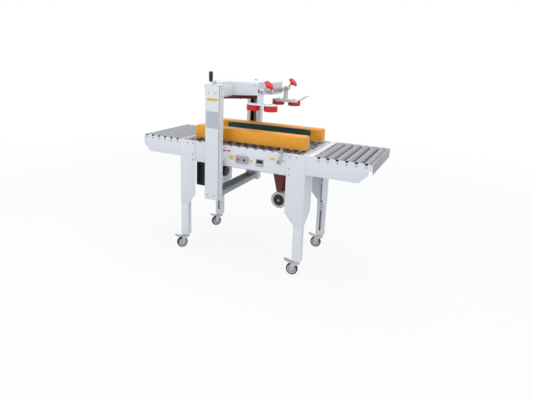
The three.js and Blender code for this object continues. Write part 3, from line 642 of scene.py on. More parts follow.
def screw_mesh():
    """A button head one millimetre across with a hexagon socket, standing on z = 0."""
    steps = 24
    bm = bmesh.new()

    def ring(radius, height, hexagon=False):
        result = []
        for i in range(steps):
            angle = 2 * math.pi * i / steps
            reach = radius
            if hexagon:
                reach = radius * math.cos(math.pi / 6) / math.cos(angle % (math.pi / 3) - math.pi / 6)
            result.append(bm.verts.new((reach * math.cos(angle), reach * math.sin(angle), height)))
        return result

    rings = [ring(0.5, 0), ring(0.5, 0.06), ring(0.46, 0.16), ring(0.36, 0.24), ring(0.30, 0.26),
             ring(0.24, 0.26, True), ring(0.23, 0.10, True)]
    for one, two in zip(rings, rings[1:]):
        for i in range(steps):
            j = (i + 1) % steps
            bm.faces.new((one[i], one[j], two[j], two[i]))
    bm.faces.new(rings[0][::-1])
    bm.faces.new(rings[-1])
    return to_mesh(bm, "screw")


def screws(name, body, places, width):
    """Button-head screws at the places, each a point and the way it faces."""
    holder = bpy.data.meshes.new(name)
    holder.from_pydata([point for point, _ in places], [], [])
    facing = holder.attributes.new("facing", "FLOAT_VECTOR", "POINT")
    for item, (_, way) in zip(facing.data, places):
        item.vector = way
    thing = template("screw_template", screw_mesh())
    values = {"Object": thing, "Size": width, "Finish": FINISHES["screw_steel"]}
    piece = Piece(name)
    piece.add(grown(name, holder, TREES["scatter"], values), "screw_steel")
    bpy.data.objects.remove(thing)
    piece.done(body)


# ---------------------------------------------------------------- places taken from the frame
SHEET = 3
BED_ROLLER = 19  # radius
TABLE_ROLLER = 24  # radius
TABLE_CHAMFER = 55
TABLE_STRIP = 46  # plain strip before the first outfeed roller
END_PLATE_REACH = 25
END_PLATE_DROP = 58
COLUMN_HALF = 54
COLUMN_DEPTH = 60
GUIDE_REACH = 270  # guide rods of the side belts, from the middle of the bed
GUIDE_Z = 700
BASE = corners_of("base_frame")
BASE_X0, _, PANEL_BOTTOM, BASE_X1, PANEL_FACE, PANEL_TOP = BASE
BED_AXIS_Z = box("bed_rollers_front")[1].z - BED_ROLLER
BED_MIDDLE_X = (BASE_X0 + BASE_X1) / 2
COLUMN = corners_of("column_front")
COLUMN_X = (COLUMN[0] + COLUMN[3]) / 2
COLUMN_X0, COLUMN_FACE, COLUMN_Z0 = COLUMN_X - COLUMN_HALF, -COLUMN[1], COLUMN[2]
COLUMN_X1, COLUMN_INNER, COLUMN_Z1 = COLUMN_X + COLUMN_HALF, COLUMN_FACE - COLUMN_DEPTH, COLUMN[5]
TABLE_AXIS_Z = middle("infeed_roller_1").z
ROD = corners_of("press_rod")
ROD_X = (ROD[0] + ROD[3]) / 2
ROD_Z = (ROD[2] + ROD[5]) / 2


def mirrored(side):
    """Front pieces are drawn at the operator's side, so rear ones are turned over the middle plane."""
    return Matrix.Identity(4) if side == "front" else Matrix.Scale(-1, 4, (0, 1, 0))


def notched(x0, x1, z0, z1, places, radius):
    """A panel outline whose top edge has half-round notches."""
    points = [(x0, z0), (x1, z0), (x1, z1)]
    for x in sorted(places, reverse=True):
        points += arc(x, z1, radius, 0, -180, 8)
    return points + [(x0, z1)]


def minus(mesh, *tools):
    """The mesh with the tools cut out of it."""
    holder = template("cut_holder", mesh)
    cutters = []
    for tool in tools:
        cutter = template("cutter", tool)
        cutters.append(cutter)
        modifier = holder.modifiers.new("cut", "BOOLEAN")
        modifier.operation = "DIFFERENCE"
        modifier.solver = "EXACT"
        modifier.object = cutter
    depsgraph = bpy.context.evaluated_depsgraph_get()
    result = bpy.data.meshes.new_from_object(holder.evaluated_get(depsgraph))
    for thing in (holder, *cutters):
        bpy.data.objects.remove(thing)
    return result


def loft(rings):
    """Skins the rings, each a list of as many points, and closes both ends."""
    bm = bmesh.new()
    made = [[bm.verts.new(point) for point in ring] for ring in rings]
    for one, two in zip(made, made[1:]):
        for i in range(len(one)):
            j = (i + 1) % len(one)
            bm.faces.new((one[i], one[j], two[j], two[i]))
    bm.faces.new(made[0][::-1])
    bm.faces.new(made[-1])
    return to_mesh(bm)


# ---------------------------------------------------------------- pieces
def bed_places():
    """Where the rollers of the bed stand along it."""
    count = bpy.context.scene.sealer_sizes.bed_count
    return [BED_MIDDLE_X + (i - (count - 1) / 2) * size("bed_pitch") for i in range(count)]


def frame_body():
    piece = Piece("frame_body")
    places = bed_places()
    outline = notched(BASE_X0, BASE_X1, PANEL_BOTTOM, PANEL_TOP, places, 12)
    crank_hole = circle(middle("width_crank").x - 11, 732, 7)
    for side in SIDES:
        holes = [crank_hole] if side == "front" else []
        skin = plate(outline, "xz", -PANEL_FACE, -PANEL_FACE + SHEET, holes)
        piece.add(skin, "white_paint", mirrored(side))
        fold = block((BASE_X0, -PANEL_FACE, PANEL_BOTTOM), (BASE_X1, -PANEL_FACE + 20, PANEL_BOTTOM + SHEET))
        piece.add(fold, "white_paint", mirrored(side))
        rail = block((BASE_X0 + 1, -64, 721), (BASE_X1 - 1, -59, 758))
        piece.add(rail, "white_paint", mirrored(side))
    for x0, x1 in ((BASE_X0, BASE_X0 + 16), (BASE_X1 - 16, BASE_X1)):
        web = (x0, x0 + SHEET) if x0 < 0 else (x1 - SHEET, x1)
        inside = PANEL_FACE - 2
        piece.add(block((x0, -inside, PANEL_TOP - SHEET), (x1, inside, PANEL_TOP)), "white_paint")
        piece.add(block((web[0], -inside, PANEL_BOTTOM + 20), (web[1], inside, PANEL_TOP)), "white_paint")
    for x in (BED_MIDDLE_X - GUIDE_REACH, BED_MIDDLE_X + GUIDE_REACH):
        piece.add(rod(8, -PANEL_FACE + 2, PANEL_FACE - 2, (x, 0, GUIDE_Z), "y", 24), "roller_steel")
    piece.done("root", ["base_frame"])


def roller_mesh(radius, half, axle, reach, steps=40):
    """A tube roller on an axle along Y, with a bearing cup set into each end."""
    wall, dip = size("roller_wall"), 4
    cup = radius - wall
    profile = [(0, -reach), (axle, -reach), (axle, -half + dip), (cup * 0.55, -half + dip),
               (cup * 0.62, -half + dip / 2), (cup * 0.92, -half + dip / 2), (cup, -half + dip / 4),
               (cup + wall / 2, -half), (radius, -half + 1)]
    return lathe(both_ways(profile), axis="y", steps=steps)


def bed_rollers(side):
    piece = Piece(f"bed_bank_{side}")
    x0, y0, z0, x1, y1, _ = corners_of("bed_rollers_front")
    for near, far, low in ((y0, y0 + SHEET, BED_AXIS_Z - 12), (y1 - SHEET, y1, z0)):
        piece.add(plate(rectangle(x0, low, x1, BED_AXIS_Z + 12, 3), "xz", near, far), "zinc_plate",
                  mirrored(side))
    half = (y1 - y0) / 2 - 6
    one = roller_mesh(BED_ROLLER, half, 5, half + 5, 28)
    places = bed_places()
    start, step = (places[0], (y0 + y1) / 2, BED_AXIS_Z), (size("bed_pitch"), 0, 0)
    row = row_of(one, start, step, len(places), "roller_steel")
    piece.add(row, "roller_steel", mirrored(side))
    piece.done("root", [f"bed_rollers_{side}"])


def table(node, frame_end, free_end, places):
    """One roller table: notched side plates, webs between them, and the outfeed's strips."""
    piece = Piece(f"{node}_body")
    _, y0, z0, x1, y1, _ = corners_of(node)
    infeed = free_end < frame_end
    left, right = min(frame_end, free_end), max(frame_end, free_end)
    top = notched(left, right, z0, PANEL_TOP, places, 11)[2:]
    if infeed:
        outline = [(left, z0 + TABLE_CHAMFER), (left + TABLE_CHAMFER, z0), (right, z0), *top]
        hem = (left + TABLE_CHAMFER + SHEET, right - 4)
    else:
        outline = [(left, z0), (right - TABLE_CHAMFER, z0), (right, z0 + TABLE_CHAMFER), *top]
        hem = (left + 4, right - TABLE_CHAMFER - SHEET)
    holes = [circle(x, TABLE_AXIS_Z, 6.4, 16) for x in places]
    for side in SIDES:
        piece.add(plate(outline, "xz", y0, y0 + SHEET, holes, 0.8), "white_paint", mirrored(side))
        fold = block((hem[0], y0 + 0.4, z0), (hem[1], y0 + 14, z0 + SHEET))
        piece.add(fold, "white_paint", mirrored(side))
    inside = y1 - 2.5
    if infeed:
        under = TABLE_AXIS_Z - TABLE_ROLLER - 4
        webs = [(right - SHEET, right, z0, under), (left + 2, left + 2 + SHEET, z0 + TABLE_CHAMFER, under)]
    else:
        webs = [(left, left + SHEET, z0, PANEL_TOP)]
        strip = block((left, -inside, PANEL_TOP - SHEET), (left + TABLE_STRIP, inside, PANEL_TOP), 1.2, 3)
        piece.add(strip, "white_paint")
        start, low = places[-1] + 26, PANEL_TOP - SHEET
        drop = PANEL_TOP - END_PLATE_DROP
        profile = [(start, low), (x1 - SHEET, low), (x1 - SHEET, drop), (x1, drop), (x1, PANEL_TOP),
                   (start, PANEL_TOP)]
        piece.add(plate(rounded(profile, [0, 1, 0, 0, 4, 0]), "xz", y0, y1, (), 0.5), "roller_steel")
        for side in SIDES:
            tie = rectangle(free_end - 4, PANEL_TOP - 40, x1 - SHEET, low, 2)
            piece.add(plate(tie, "xz", y0 + 0.2, y0 + SHEET), "white_paint", mirrored(side))
    for a, b, low, high in webs:
        piece.add(block((a, -inside, low), (b, inside, high)), "white_paint")
    piece.done("root", [node])


def table_roller(node):
    centre = middle(node)
    half = box(node)[1].y - 6
    piece = Piece(f"{node}_tube")
    move = Matrix.Translation(centre)
    piece.add(roller_mesh(TABLE_ROLLER, half, 6, half + 5.5), "roller_steel", move)
    for end in (-1, 1):
        bearing = tube(22, 6, -1, 1, centre + Vector((0, end * (half + 1.2), 0)), "y", 32)
        piece.add(bearing, "black_plastic")
    piece.done(BODY_OF[node], [node])


def corner_matrix(corner):
    """From the front left corner, with its outer edge at the origin, to this corner."""
    lo, hi = box(f"leg_bracket_{corner}")
    left, front = "left" in corner, "front" in corner
    place = Vector((lo.x if left else hi.x, lo.y if front else hi.y, 0))
    flip = Matrix.Diagonal((1 if left else -1, 1 if front else -1, 1, 1))
    return Matrix.Translation(place) @ flip


def leg_and_bracket(corner):
    here = corner_matrix(corner)
    bracket = Piece(f"leg_bracket_{corner}_sheet")
    bracket.add(copy_of(f"leg_bracket_{corner}", 1.4), "white_paint")
    bracket.done("root", [f"leg_bracket_{corner}"])
    leg = Piece(f"leg_{corner}_tube")
    leg.add(copy_of(f"leg_{corner}", 1.6), "white_paint")
    x, y = 32.3, 43.3  # the inner face of the leg, where its clamp bolts come through
    for z in (300, 322, 344, 500):
        leg.add(rod(7, 0, 4, (x, y, z), "y", 6), "screw_steel", here)
        leg.add(tube(10, 5, 0, 1.2, (x, y, z), "y", 20), "screw_steel", here)
    leg.done(BODY_OF[f"leg_{corner}"], [f"leg_{corner}"])


def caster(corner):
    wheel_node, fork_node = f"caster_wheel_{corner}", f"caster_fork_{corner}"
    axis = JOINTS[f"wheel_{corner}_roll"]["axis"]
    yaw = math.atan2(-axis[0], axis[1])
    pin = pin_of(f"caster_{corner}_swivel")
    turn = Matrix.Translation((pin[0], pin[1], 0)) @ Matrix.Rotation(yaw, 4, "Z")
    top = box(fork_node)[1].z
    fork = Piece(f"{fork_node}_pressed")
    race = [(0, top - 16), (17, top - 16), (22, top - 12), (23, top - 8),
            (21, top - 5), (24, top - 2.5), (24, top), (0, top)]
    fork.add(lathe(race, steps=36), "zinc_plate", turn)
    crown = rounded([(-36, -17), (16, -17), (22, -10), (22, 10),
                     (16, 17), (-36, 17)], 5)
    fork.add(plate(crown, "xy", top - 15, top - 12, (), 0.8), "zinc_plate", turn)
    cheek = rounded([(-36, top - 12), (-39, 46), (-38, 30), (-30, 28),
                     (-21, 31), (-8, top - 34), (21, top - 20), (21, top - 12)],
                    [3, 10, 7, 9, 8, 10, 4, 3])
    for y in (14, -17):
        fork.add(plate(cheek, "xz", y, y + 3, (), 0.8), "zinc_plate", turn)
    axle = (-30, 0, 38)
    fork.add(rod(4.5, -20, 20, axle, "y", 16), "screw_steel", turn)
    for start in (-21, 17):
        fork.add(rod(8, start, start + 4, axle, "y", 6), "screw_steel", turn)
    pedal = rounded([(-34, -12), (-70, -16), (-86, -13), (-86, 13),
                     (-70, 16), (-34, 12)], 4)
    tilt = Matrix.Translation((-34, 0, top - 15)) @ Matrix.Rotation(math.radians(14), 4, "Y")
    tilt = turn @ tilt @ Matrix.Translation((34, 0, 0))
    fork.add(plate(pedal, "xy", 0, 2.5, (), 0.8), "zinc_plate", tilt)
    for y in (-13, 11):
        fork.add(block((-78, y, -7), (-40, y + 2, 1)), "zinc_plate", tilt)
    grips = block((-84, -10, 2), (-81, 10, 3.6), 0.6)
    fork.add(row_of(grips, (0, 0, 0), (5, 0, 0), 4, "zinc_plate"), "zinc_plate", tilt)
    fork.done(BODY_OF[fork_node], [fork_node])

    spin = Matrix.Translation(middle(wheel_node)) @ Matrix.Rotation(yaw, 4, "Z")
    wheel = Piece(f"{wheel_node}_moulded")
    tyre = [(29, -9), (33, -12), (36.6, -11), (38, -7.5)]
    rim = [(25, -9), (29.5, -10.5)]
    hub = [(6, -11), (10, -11), (12, -9)]
    turned = ((tyre, 48, "black_tyre"), (rim, 48, "hub_plastic"), (hub, 32, "hub_plastic"))
    for profile, steps, finish in turned:
        wheel.add(lathe(both_ways(profile), axis="y", steps=steps, closed=True), finish, spin)
    wheel.add(tube(26, 11, -2.5, 2.5, (0, 0, 0), "y", 40), "hub_plastic", spin)
    for i in range(6):
        spoke = block((11, -8, -2.2), (26, 8, 2.2), 1)
        wheel.add(spoke, "hub_plastic", spin @ Matrix.Rotation(i * math.pi / 3, 4, "Y"))
    wheel.done(BODY_OF[wheel_node], [wheel_node])


def column(side):
    piece = Piece(f"column_{side}_channel")
    here = mirrored(side)
    outer = rectangle(COLUMN_X0, -COLUMN_FACE, COLUMN_X1, -COLUMN_INNER, 9)
    inner = rectangle(COLUMN_X0 + SHEET, -COLUMN_FACE + SHEET, COLUMN_X1 - SHEET, -COLUMN_INNER - SHEET, 6)
    slot = block((COLUMN_X - 25, -COLUMN_INNER - 8, PANEL_TOP + 60),
                 (COLUMN_X + 25, -COLUMN_INNER + 8, COLUMN_Z1 + 20), 0)
    channel = plate(outer, "xy", COLUMN_Z0, COLUMN_Z1 - SHEET, [inner], 0.6)
    piece.add(minus(channel, slot), "white_paint", here)
    # painted shade: the inner walls of the hollow column get near-black paint in place of the shade inside
    # the tube
    dark = piece.number_of("painted_shade_inside")
    for face in piece.bm.faces:
        spot = face.calc_center_median()
        across = COLUMN_X0 + 2 < spot.x < COLUMN_X1 - 2
        deep = COLUMN_INNER + 2 < abs(spot.y) < COLUMN_FACE - 2
        if across and deep and abs(face.normal.z) < 0.5:
            face.material_index = dark
    screw_hole = circle(COLUMN_X, -COLUMN_FACE + 30, 9)
    cap = rectangle(COLUMN_X0 - 9, -COLUMN_FACE, COLUMN_X1 + 3, -COLUMN_INNER + 2, 9)
    piece.add(plate(cap, "xy", COLUMN_Z1 - 6, COLUMN_Z1, [screw_hole], 1.5), "white_paint", here)
    sole = rectangle(COLUMN_X0 + SHEET, -COLUMN_FACE + SHEET, COLUMN_X1 - SHEET, -COLUMN_INNER - SHEET, 5)
    piece.add(plate(sole, "xy", COLUMN_Z0 + 1, COLUMN_Z0 + 5), "white_paint", here)
    mount = rectangle(COLUMN_X - 80, 690, COLUMN_X + 80, 790, 4)
    piece.add(plate(mount, "xz", -COLUMN_INNER - 1, -PANEL_FACE - 0.3, (), 0.8), "white_paint", here)
    piece.done("root", [f"column_{side}"])


def column_collar():
    """Flared collar under the crank, round the top of the front column."""
    piece = Piece("column_collar")
    rings = []
    for down, out in ((52, 0.6), (44, 1.0), (14, 9.0), (6.5, 9.0)):
        outline = rectangle(COLUMN_X0 - out, -COLUMN_FACE - 0.4, COLUMN_X0 + 20, -COLUMN_INNER + 0.4, 8)
        rings.append([(x, y, COLUMN_Z1 - down) for x, y in outline])
    piece.add(loft(rings), "white_paint")
    piece.done("root")


def crossbar():
    piece = Piece("crossbar_channel")
    piece.add(copy_of("lower_crossbar", 1.0), "grey_paint")
    piece.done("root", ["lower_crossbar"])


CRANK_REST = 141  # degrees: where the lift crank points at rest
CRANK_ARM_UP = 7  # its arm's underside, above the column


def lift_crank():
    piece = Piece("lift_crank_turned")
    pin = pin_of("lift_crank_turn")
    here = Matrix.Translation((pin[0], pin[1], 0)) @ Matrix.Rotation(math.radians(CRANK_REST), 4, "Z")
    z0 = box("lift_crank")[0].z
    arm = COLUMN_Z1 + CRANK_ARM_UP
    top = box("lift_crank")[1].z
    piece.add(rod(8, z0, arm, (0, 0, 0), "z", 24), "roller_steel", here)
    piece.add(rod(13, COLUMN_Z1 + 0.4, arm + 8, (0, 0, 0), "z", 32, 1.5), "zinc_plate", here)
    piece.add(rod(6, arm + 8, arm + 12, (0, 0, 0), "z", 6), "black_plastic", here)
    bar = rounded([(-12, -9), (87, -9), (87, 9), (-12, 9)], 8.5)
    piece.add(plate(bar, "xy", arm, arm + 6, (), 1), "zinc_plate", here)
    reach = (75, 0, 0)
    low = arm + 6.5
    grip = [(0, low), (10, low), (13, low + 3), (12.2, low + 14), (13.4, low + 40),
            (13.6, low + 52), (12.4, top - 3.5), (9, top - 0.8), (0, top)]
    piece.add(lathe(grip, reach, steps=32), "black_plastic", here)
    ring = lathe([(11.5, -1.4), (14, -0.8), (14, 0.8), (11.5, 1.4)], steps=28, closed=True)
    start = Vector(reach) + Vector((0, 0, low + 12))
    piece.add(row_of(ring, start, (0, 0, size("grip_ring")), 6, "black_plastic"), "black_plastic", here)
    piece.done("lift_crank", ["lift_crank"])


def rear_screw():
    piece = Piece("lift_screw_rear_turned")
    pin = pin_of("lift_screw_rear_turn")
    lo, hi = box("lift_screw_rear")
    piece.add(rod(8, lo.z, hi.z, (pin[0], pin[1], 0), "z", 24, 1.5), "roller_steel")
    piece.add(rod(13, COLUMN_Z1 + 0.4, hi.z - 1.5, (pin[0], pin[1], 0), "z", 6, 1), "zinc_plate")
    piece.done("lift_screw_rear", ["lift_screw_rear"])


HEAD_HALF, HEAD_LOW, HEAD_RISE = 90, 1098, 18  # its lower edge climbs towards the outfeed
HEAD_FRONT = 45  # outfeed end, from the middle of the bed
HEAD_CROWN = 9  # the folded lid over the head's box
BEAM_LOW, BEAM_TOP = 1112, 1176


def head():
    """The lifting head: a folded box, its spine and sliders, the rear beam, lugs and ear."""
    piece = Piece("head_shell")
    x0 = box("head_carrier")[0].x
    x1 = BED_MIDDLE_X + HEAD_FRONT
    top = box("head_carrier")[1].z + HEAD_CROWN
    half, low, rise = HEAD_HALF, HEAD_LOW, HEAD_RISE

    def section(bottom):
        out = [(-half, bottom)] + arc(-half + 10, top - 10, 10, 180, 90, 5)
        out += arc(half - 10, top - 10, 10, 90, 0, 5) + [(half, bottom)]
        inside = [(half - 3, bottom)] + arc(half - 10, top - 10, 7, 0, 90, 5)
        inside += arc(-half + 10, top - 10, 7, 90, 180, 5) + [(-half + 3, bottom)]
        return out + inside

    rings = [[(x, y, z) for y, z in section(bottom)] for x, bottom in ((x0, low), (x1, low + rise))]
    piece.add(loft(rings), "white_paint")
    wall = rounded([(-half + 2, low + 3), (half - 2, low + 3), (half - 2, top - 2),
                    (-half + 2, top - 2)], [0, 0, 9, 9])
    piece.add(plate(wall, "yz", x0 + 0.4, x0 + 3.4), "white_paint")
    wall = [(y, z + (rise if z < 1150 else 0)) for y, z in wall]
    piece.add(plate(wall, "yz", x1 - 3.4, x1 - 0.4), "white_paint")
    for y in (-half, half - 12):
        hem = loft([[(x, y + dy, z + dz) for dy, dz in ((0, 0), (12, 0), (12, 2.5), (0, 2.5))]
                    for x, z in ((x0, low), (x1, low + rise))])
        piece.add(hem, "white_paint")
    spine = (COLUMN_X - 22, COLUMN_X + 22)
    piece.add(block((spine[0], -274, BEAM_LOW), (spine[1], 274, BEAM_TOP), 3, 3), "white_paint")
    shroud = (COLUMN_INNER - 4, half - 4)
    piece.add(block((spine[0] - 12, -shroud[0], 1102), (spine[1] - 12, -shroud[1], top - 0.8), 3, 3),
              "white_paint")
    piece.add(block((BED_MIDDLE_X - 120, half - 1, 1112), (BED_MIDDLE_X + 70, COLUMN_INNER - 5, top - 8),
                    5, 4), "white_paint")
    for side in (-1, 1):
        y = side * (COLUMN_INNER + COLUMN_DEPTH / 2)
        slider = block((COLUMN_X - 47, y - 23, 1070), (COLUMN_X + 47, y + 23, 1182), 3, 3)
        bore = rod(8.6, 1060, 1190, (COLUMN_X, y, 0), "z", 24)
        piece.add(minus(slider, bore), "black_plastic")
    for y in (-34, 150):
        lug = rounded([(x1 - 2, ROD_Z - 18), (ROD_X + 18, ROD_Z - 18), (ROD_X + 18, ROD_Z + 18),
                       (x1 - 2, ROD_Z + 18)], [0, 17, 17, 0], 8)
        piece.add(plate(lug, "xz", y, y + 12, [circle(ROD_X, ROD_Z, 11.4)], 1.2), "white_paint")
    ear = (x1 - 2, x1 + 17)
    piece.add(block((ear[0], -half, ROD_Z - 20), (ear[1], -half + 40, ROD_Z + 14), 2, 3), "white_paint")
    piece.add(block((ear[0] + 2, -half - 1.5, ROD_Z - 18), (ear[1] - 1, -half + 4, ROD_Z + 12), 2),
              "black_plastic")
    piece.done("head", ["head_carrier"])


def upper_tape_head():
    piece = Piece("upper_tape_unit")
    x0, y0, _, x1, y1, z1 = corners_of("upper_tape_head")
    outline = rounded([(x0, 1072), (x1, 1090), (x1, z1), (x0, z1)], [14, 10, 0, 0])
    for y in (y0, y1 - 4):
        piece.add(plate(outline, "xz", y, y + 4, (), 0.8), "maroon_paint")
    piece.add(block((x0, y0, z1 - 4), (x1, y1, z1)), "maroon_paint")
    for i, x in enumerate((x0 + 18, (x0 + x1) / 2, x1 - 18)):
        piece.add(rod(14, y0 + 4.5, y1 - 4.5, (x, 0, (1086 + 6 * i)), "y", 28, 1.5), "black_tyre")
    piece.done("head", ["upper_tape_head"])


def press_rod():
    piece = Piece("press_rod_turned")
    _, y0, _, _, y1, _ = ROD
    piece.add(rod(11, y0, y1, (ROD_X, 0, ROD_Z), "y", 36, 1.5), "roller_steel")
    for y in (-21, 140):
        piece.add(tube(17, 11.2, y, y + 9, (ROD_X, 0, ROD_Z), "y", 32, 1), "zinc_plate")
    piece.done("head", ["press_rod"])


def press_bracket(side):
    node = f"press_bracket_{side}"
    piece = Piece(f"{node}_welded")
    y = -150 if side == "front" else 262
    here = Matrix.Translation((ROD_X, y, 0))
    clamp = minus(block((-17, -15, ROD_Z - 17), (17, 15, ROD_Z + 17), 3, 3),
                  rod(11.4, -20, 20, (0, 0, ROD_Z), "y", 32))
    bore = rod(5.7, 8, 40, (0, 0, 0), "z", 24)
    bore.transform(Matrix.Translation((0, 0, ROD_Z)) @ Matrix.Rotation(math.radians(45), 4, "Y"))
    piece.add(minus(clamp, bore), "white_paint", here)
    low = 1066
    for x0, x1 in ((-40, -20), (-20, 14)):
        if x0 < -30 and side == "rear":
            continue
        arm = rounded([(x0, low + 2), (x1, low + 2), (x1, ROD_Z - 12), (x0, ROD_Z - 12)], 2)
        near = -12 if x0 > -30 else 6
        piece.add(plate(arm, "xz", near, near + 4, (), 0.8), "white_paint", here)
    strap = block((-40, -12, ROD_Z - 18), (14, 10, ROD_Z - 14)) if side == "front" else None
    if strap:
        piece.add(strap, "white_paint", here)
    long, wide = 106, 49
    corners = [(-long, -wide), (long, -wide), (long, wide), (-long, wide)]
    outline = rounded(corners, 44, 10)
    if side == "rear":
        outline = rounded(corners, [44, 0, 0, 44], 10)
        slope = [(long - 2, low), (long + 2, low), (164, low + 37), (164, low + 40),
                 (162, low + 40), (long - 1, low + 4)]
        piece.add(plate(slope, "xz", -wide, wide - 20, (), 0.5), "white_paint", here)
        skirt = block((-62, -wide, low - 12), (long, -wide + 2.6, low + 3), 0.8)
        piece.add(skirt, "white_paint", here)
    piece.add(plate(outline, "xy", low, low + 4, (), 1.2), "white_paint", here)
    for x in (-62, 62):
        piece.add(rod(5, 1024.5, 1069, (x, 0, 0), "z", 20), "screw_steel", here)
        piece.add(rod(9, 1070, 1076, (x, 0, 0), "z", 6, 0.8), "screw_steel", here)
    piece.done(node, [node])


def press_roller(side, end):
    node = f"press_roller_{side}_{end}"
    centre = middle(node)
    centre.z = 0
    lo, hi = box(node)
    r = 45
    low, high = lo.z, hi.z
    profile = [(5.4, low), (14, low), (16, low + 3), (36, low + 3), (38, low), (r - 3, low),
               (r, low + 3), (r, low + 15), (r - 0.8, low + 16), (r, low + 17), (r, high - 3),
               (r - 3, high), (38, high), (36, high - 3), (16, high - 3), (14, high), (5.4, high)]
    piece = Piece(f"{node}_turned")
    piece.add(lathe(profile, centre, steps=56, closed=True), "red_plastic")
    piece.done(BODY_OF[node], [node])


KNOB_RADIUS, KNOB_LOBES = 37, 5
# height along the stem, share of the radius, depth of the hollows between the lobes
KNOB_RINGS = ((57, 0.84, 0.10), (58.5, 0.93, 0.13), (62, 1.0, 0.14), (69, 1.0, 0.14),
              (72.5, 0.95, 0.13), (74.5, 0.84, 0.10), (74.9, 0.62, 0.04), (74.9, 0.40, 0.0))


def clamp_knob(side):
    """Five-lobed knob with a raised boss, on a stem."""
    node = f"clamp_knob_{side}"
    piece = Piece(f"{node}_moulded")
    here = Matrix.Translation(pin_of(f"clamp_knob_{side}_turn")) @ Matrix.Rotation(math.radians(45), 4, "Y")
    steps = 60
    rings = []
    for height, scale, depth in KNOB_RINGS:
        ring = []
        for i in range(steps):
            angle = 2 * math.pi * i / steps
            reach = KNOB_RADIUS * scale * (1 - depth * (0.5 - 0.5 * math.cos(KNOB_LOBES * angle)))
            ring.append((reach * math.cos(angle), reach * math.sin(angle), height))
        rings.append(ring)
    piece.add(loft(rings), "red_plastic", here)
    boss = [(0, 42), (9, 42), (11, 44), (14, 58), (14, 70), (13, 75.5),
            (8, 77.5), (0, 78)]
    piece.add(lathe(boss, steps=32), "red_plastic", here)
    piece.add(rod(5, 11.3, 60, (0, 0, 0), "z", 20), "screw_steel", here)
    piece.add(rod(8.5, 26, 32, (0, 0, 0), "z", 6, 0.8), "screw_steel", here)
    piece.done(node, [node])


def belt_carriage(side):
    here = mirrored(side)
    x0, y0, _, x1, y1, z1 = corners_of("belt_housing_front")
    z0 = z1 - 82
    housing = Piece(f"belt_housing_{side}_cover")
    radii = [14, 14, 2, 2]
    outline = rounded([(x0, y0), (x1, y0), (x1, y1), (x0, y1)], radii, 8)
    body = plate(outline, "xy", z0, z1, (), 3)
    mouth = block((x0 + 78, y1 - 30, z0 + 9), (x1 - 78, y1 + 10, z1 - 9), 0)
    housing.add(minus(body, mouth), "orange_paint", here)
    lid = rounded([(x0 + 8, y0 + 8), (x1 - 8, y0 + 8), (x1 - 8, y1 - 6), (x0 + 8, y1 - 6)], 8)
    housing.add(plate(lid, "xy", z1 - 0.5, z1 + 1.2, (), 0.6), "orange_paint", here)
    for low in (z0 + 5, z1 - 8):
        housing.add(block((x0 + 70, y1 - 3, low), (x1 - 70, y1 + 2, low + 3)), "roller_steel", here)
    near, far = -190, -130  # the bearing blocks on the guide rods
    for x in (BED_MIDDLE_X - GUIDE_REACH, BED_MIDDLE_X + GUIDE_REACH):
        housing.add(block((x - 5, near, GUIDE_Z + 16), (x + 5, far, z0 + 4), 1), "zinc_plate", here)
        bearing = block((x - 16, near, GUIDE_Z - 16), (x + 16, far, GUIDE_Z + 17), 2)
        bore = rod(8.4, near - 10, far + 10, (x, 0, GUIDE_Z), "y", 24)
        housing.add(minus(bearing, bore), "black_plastic", here)
    housing.done(f"belt_carriage_{side}", [f"belt_housing_{side}"])

    belt = Piece(f"drive_belt_{side}_woven")
    start, y0, _, end, y1, _ = corners_of("drive_belt_front")
    low, high = (z0 + z1) / 2 - 28, (z0 + z1) / 2 + 28
    r, y = (y1 - y0) / 2, (y0 + y1) / 2

    def loop(radius):
        return arc(end - r, y, radius, -90, 90, 14) + arc(start + r, y, radius, 90, 270, 14)

    belt.add(plate(loop(r), "xy", low, high, [loop(r - 4)], 0.8), "green_belt", here)
    for x in (start + r, end - r):
        belt.add(rod(r - 4.2, low - 3.5, high + 3.5, (x, y, 0), "z", 36, 1), "zinc_plate", here)
    backing = block((start + 2 * r, y1 - 7.5, low + 4), (end - 2 * r, y1 - 4.2, high - 4))
    belt.add(backing, "roller_steel", here)
    belt.done(f"belt_carriage_{side}", [f"drive_belt_{side}"])


def drive_motor():
    piece = Piece("drive_motor_assembly")
    x0, y0, z0, x1, y1, z1 = corners_of("drive_motor_front")
    box_x1, box_top = x0 + 80, z0 + 175
    yc, zc = (y0 + y1) / 2, 590
    piece.add(block((x0 + 3, y0 + 3, z0), (box_x1 - 3, y1 - 3, box_top), 4, 3), "black_paint")
    rib = block((x0, y0, z0 + 14), (box_x1, y1, z0 + 18), 1.2)
    piece.add(row_of(rib, (0, 0, 0), (0, 0, 15), 10, "black_paint"), "black_paint")
    piece.add(rod(38.6, box_x1 - 4, x1 - 26, (0, yc, zc), "x", 44, 2), "black_paint")
    end = [(0, x1 - 27), (36, x1 - 27), (37, x1 - 8), (34, x1 - 2), (24, x1), (0, x1)]
    piece.add(lathe(end, (0, yc, zc), "x", 44), "black_paint")
    fin = tube(39, 36, 0, 2.2, (0, yc, zc), "x", 44)
    piece.add(row_of(fin, (box_x1 + 12, 0, 0), (7, 0, 0), 15, "black_paint"), "black_paint")
    shaft_x = (x0 + box_x1) / 2
    piece.add(rod(7, box_top - 2, z1, (shaft_x, yc, 0), "z", 24), "roller_steel")
    piece.add(rod(20, box_top - 1, box_top + 10, (shaft_x, yc, 0), "z", 36, 1.5), "zinc_plate")
    piece.add(block((box_x1 + 20, yc - 26, zc + 34), (box_x1 + 84, yc + 26, zc + 56), 4, 3),
              "black_plastic")
    piece.done("belt_carriage_front", ["drive_motor_front"])


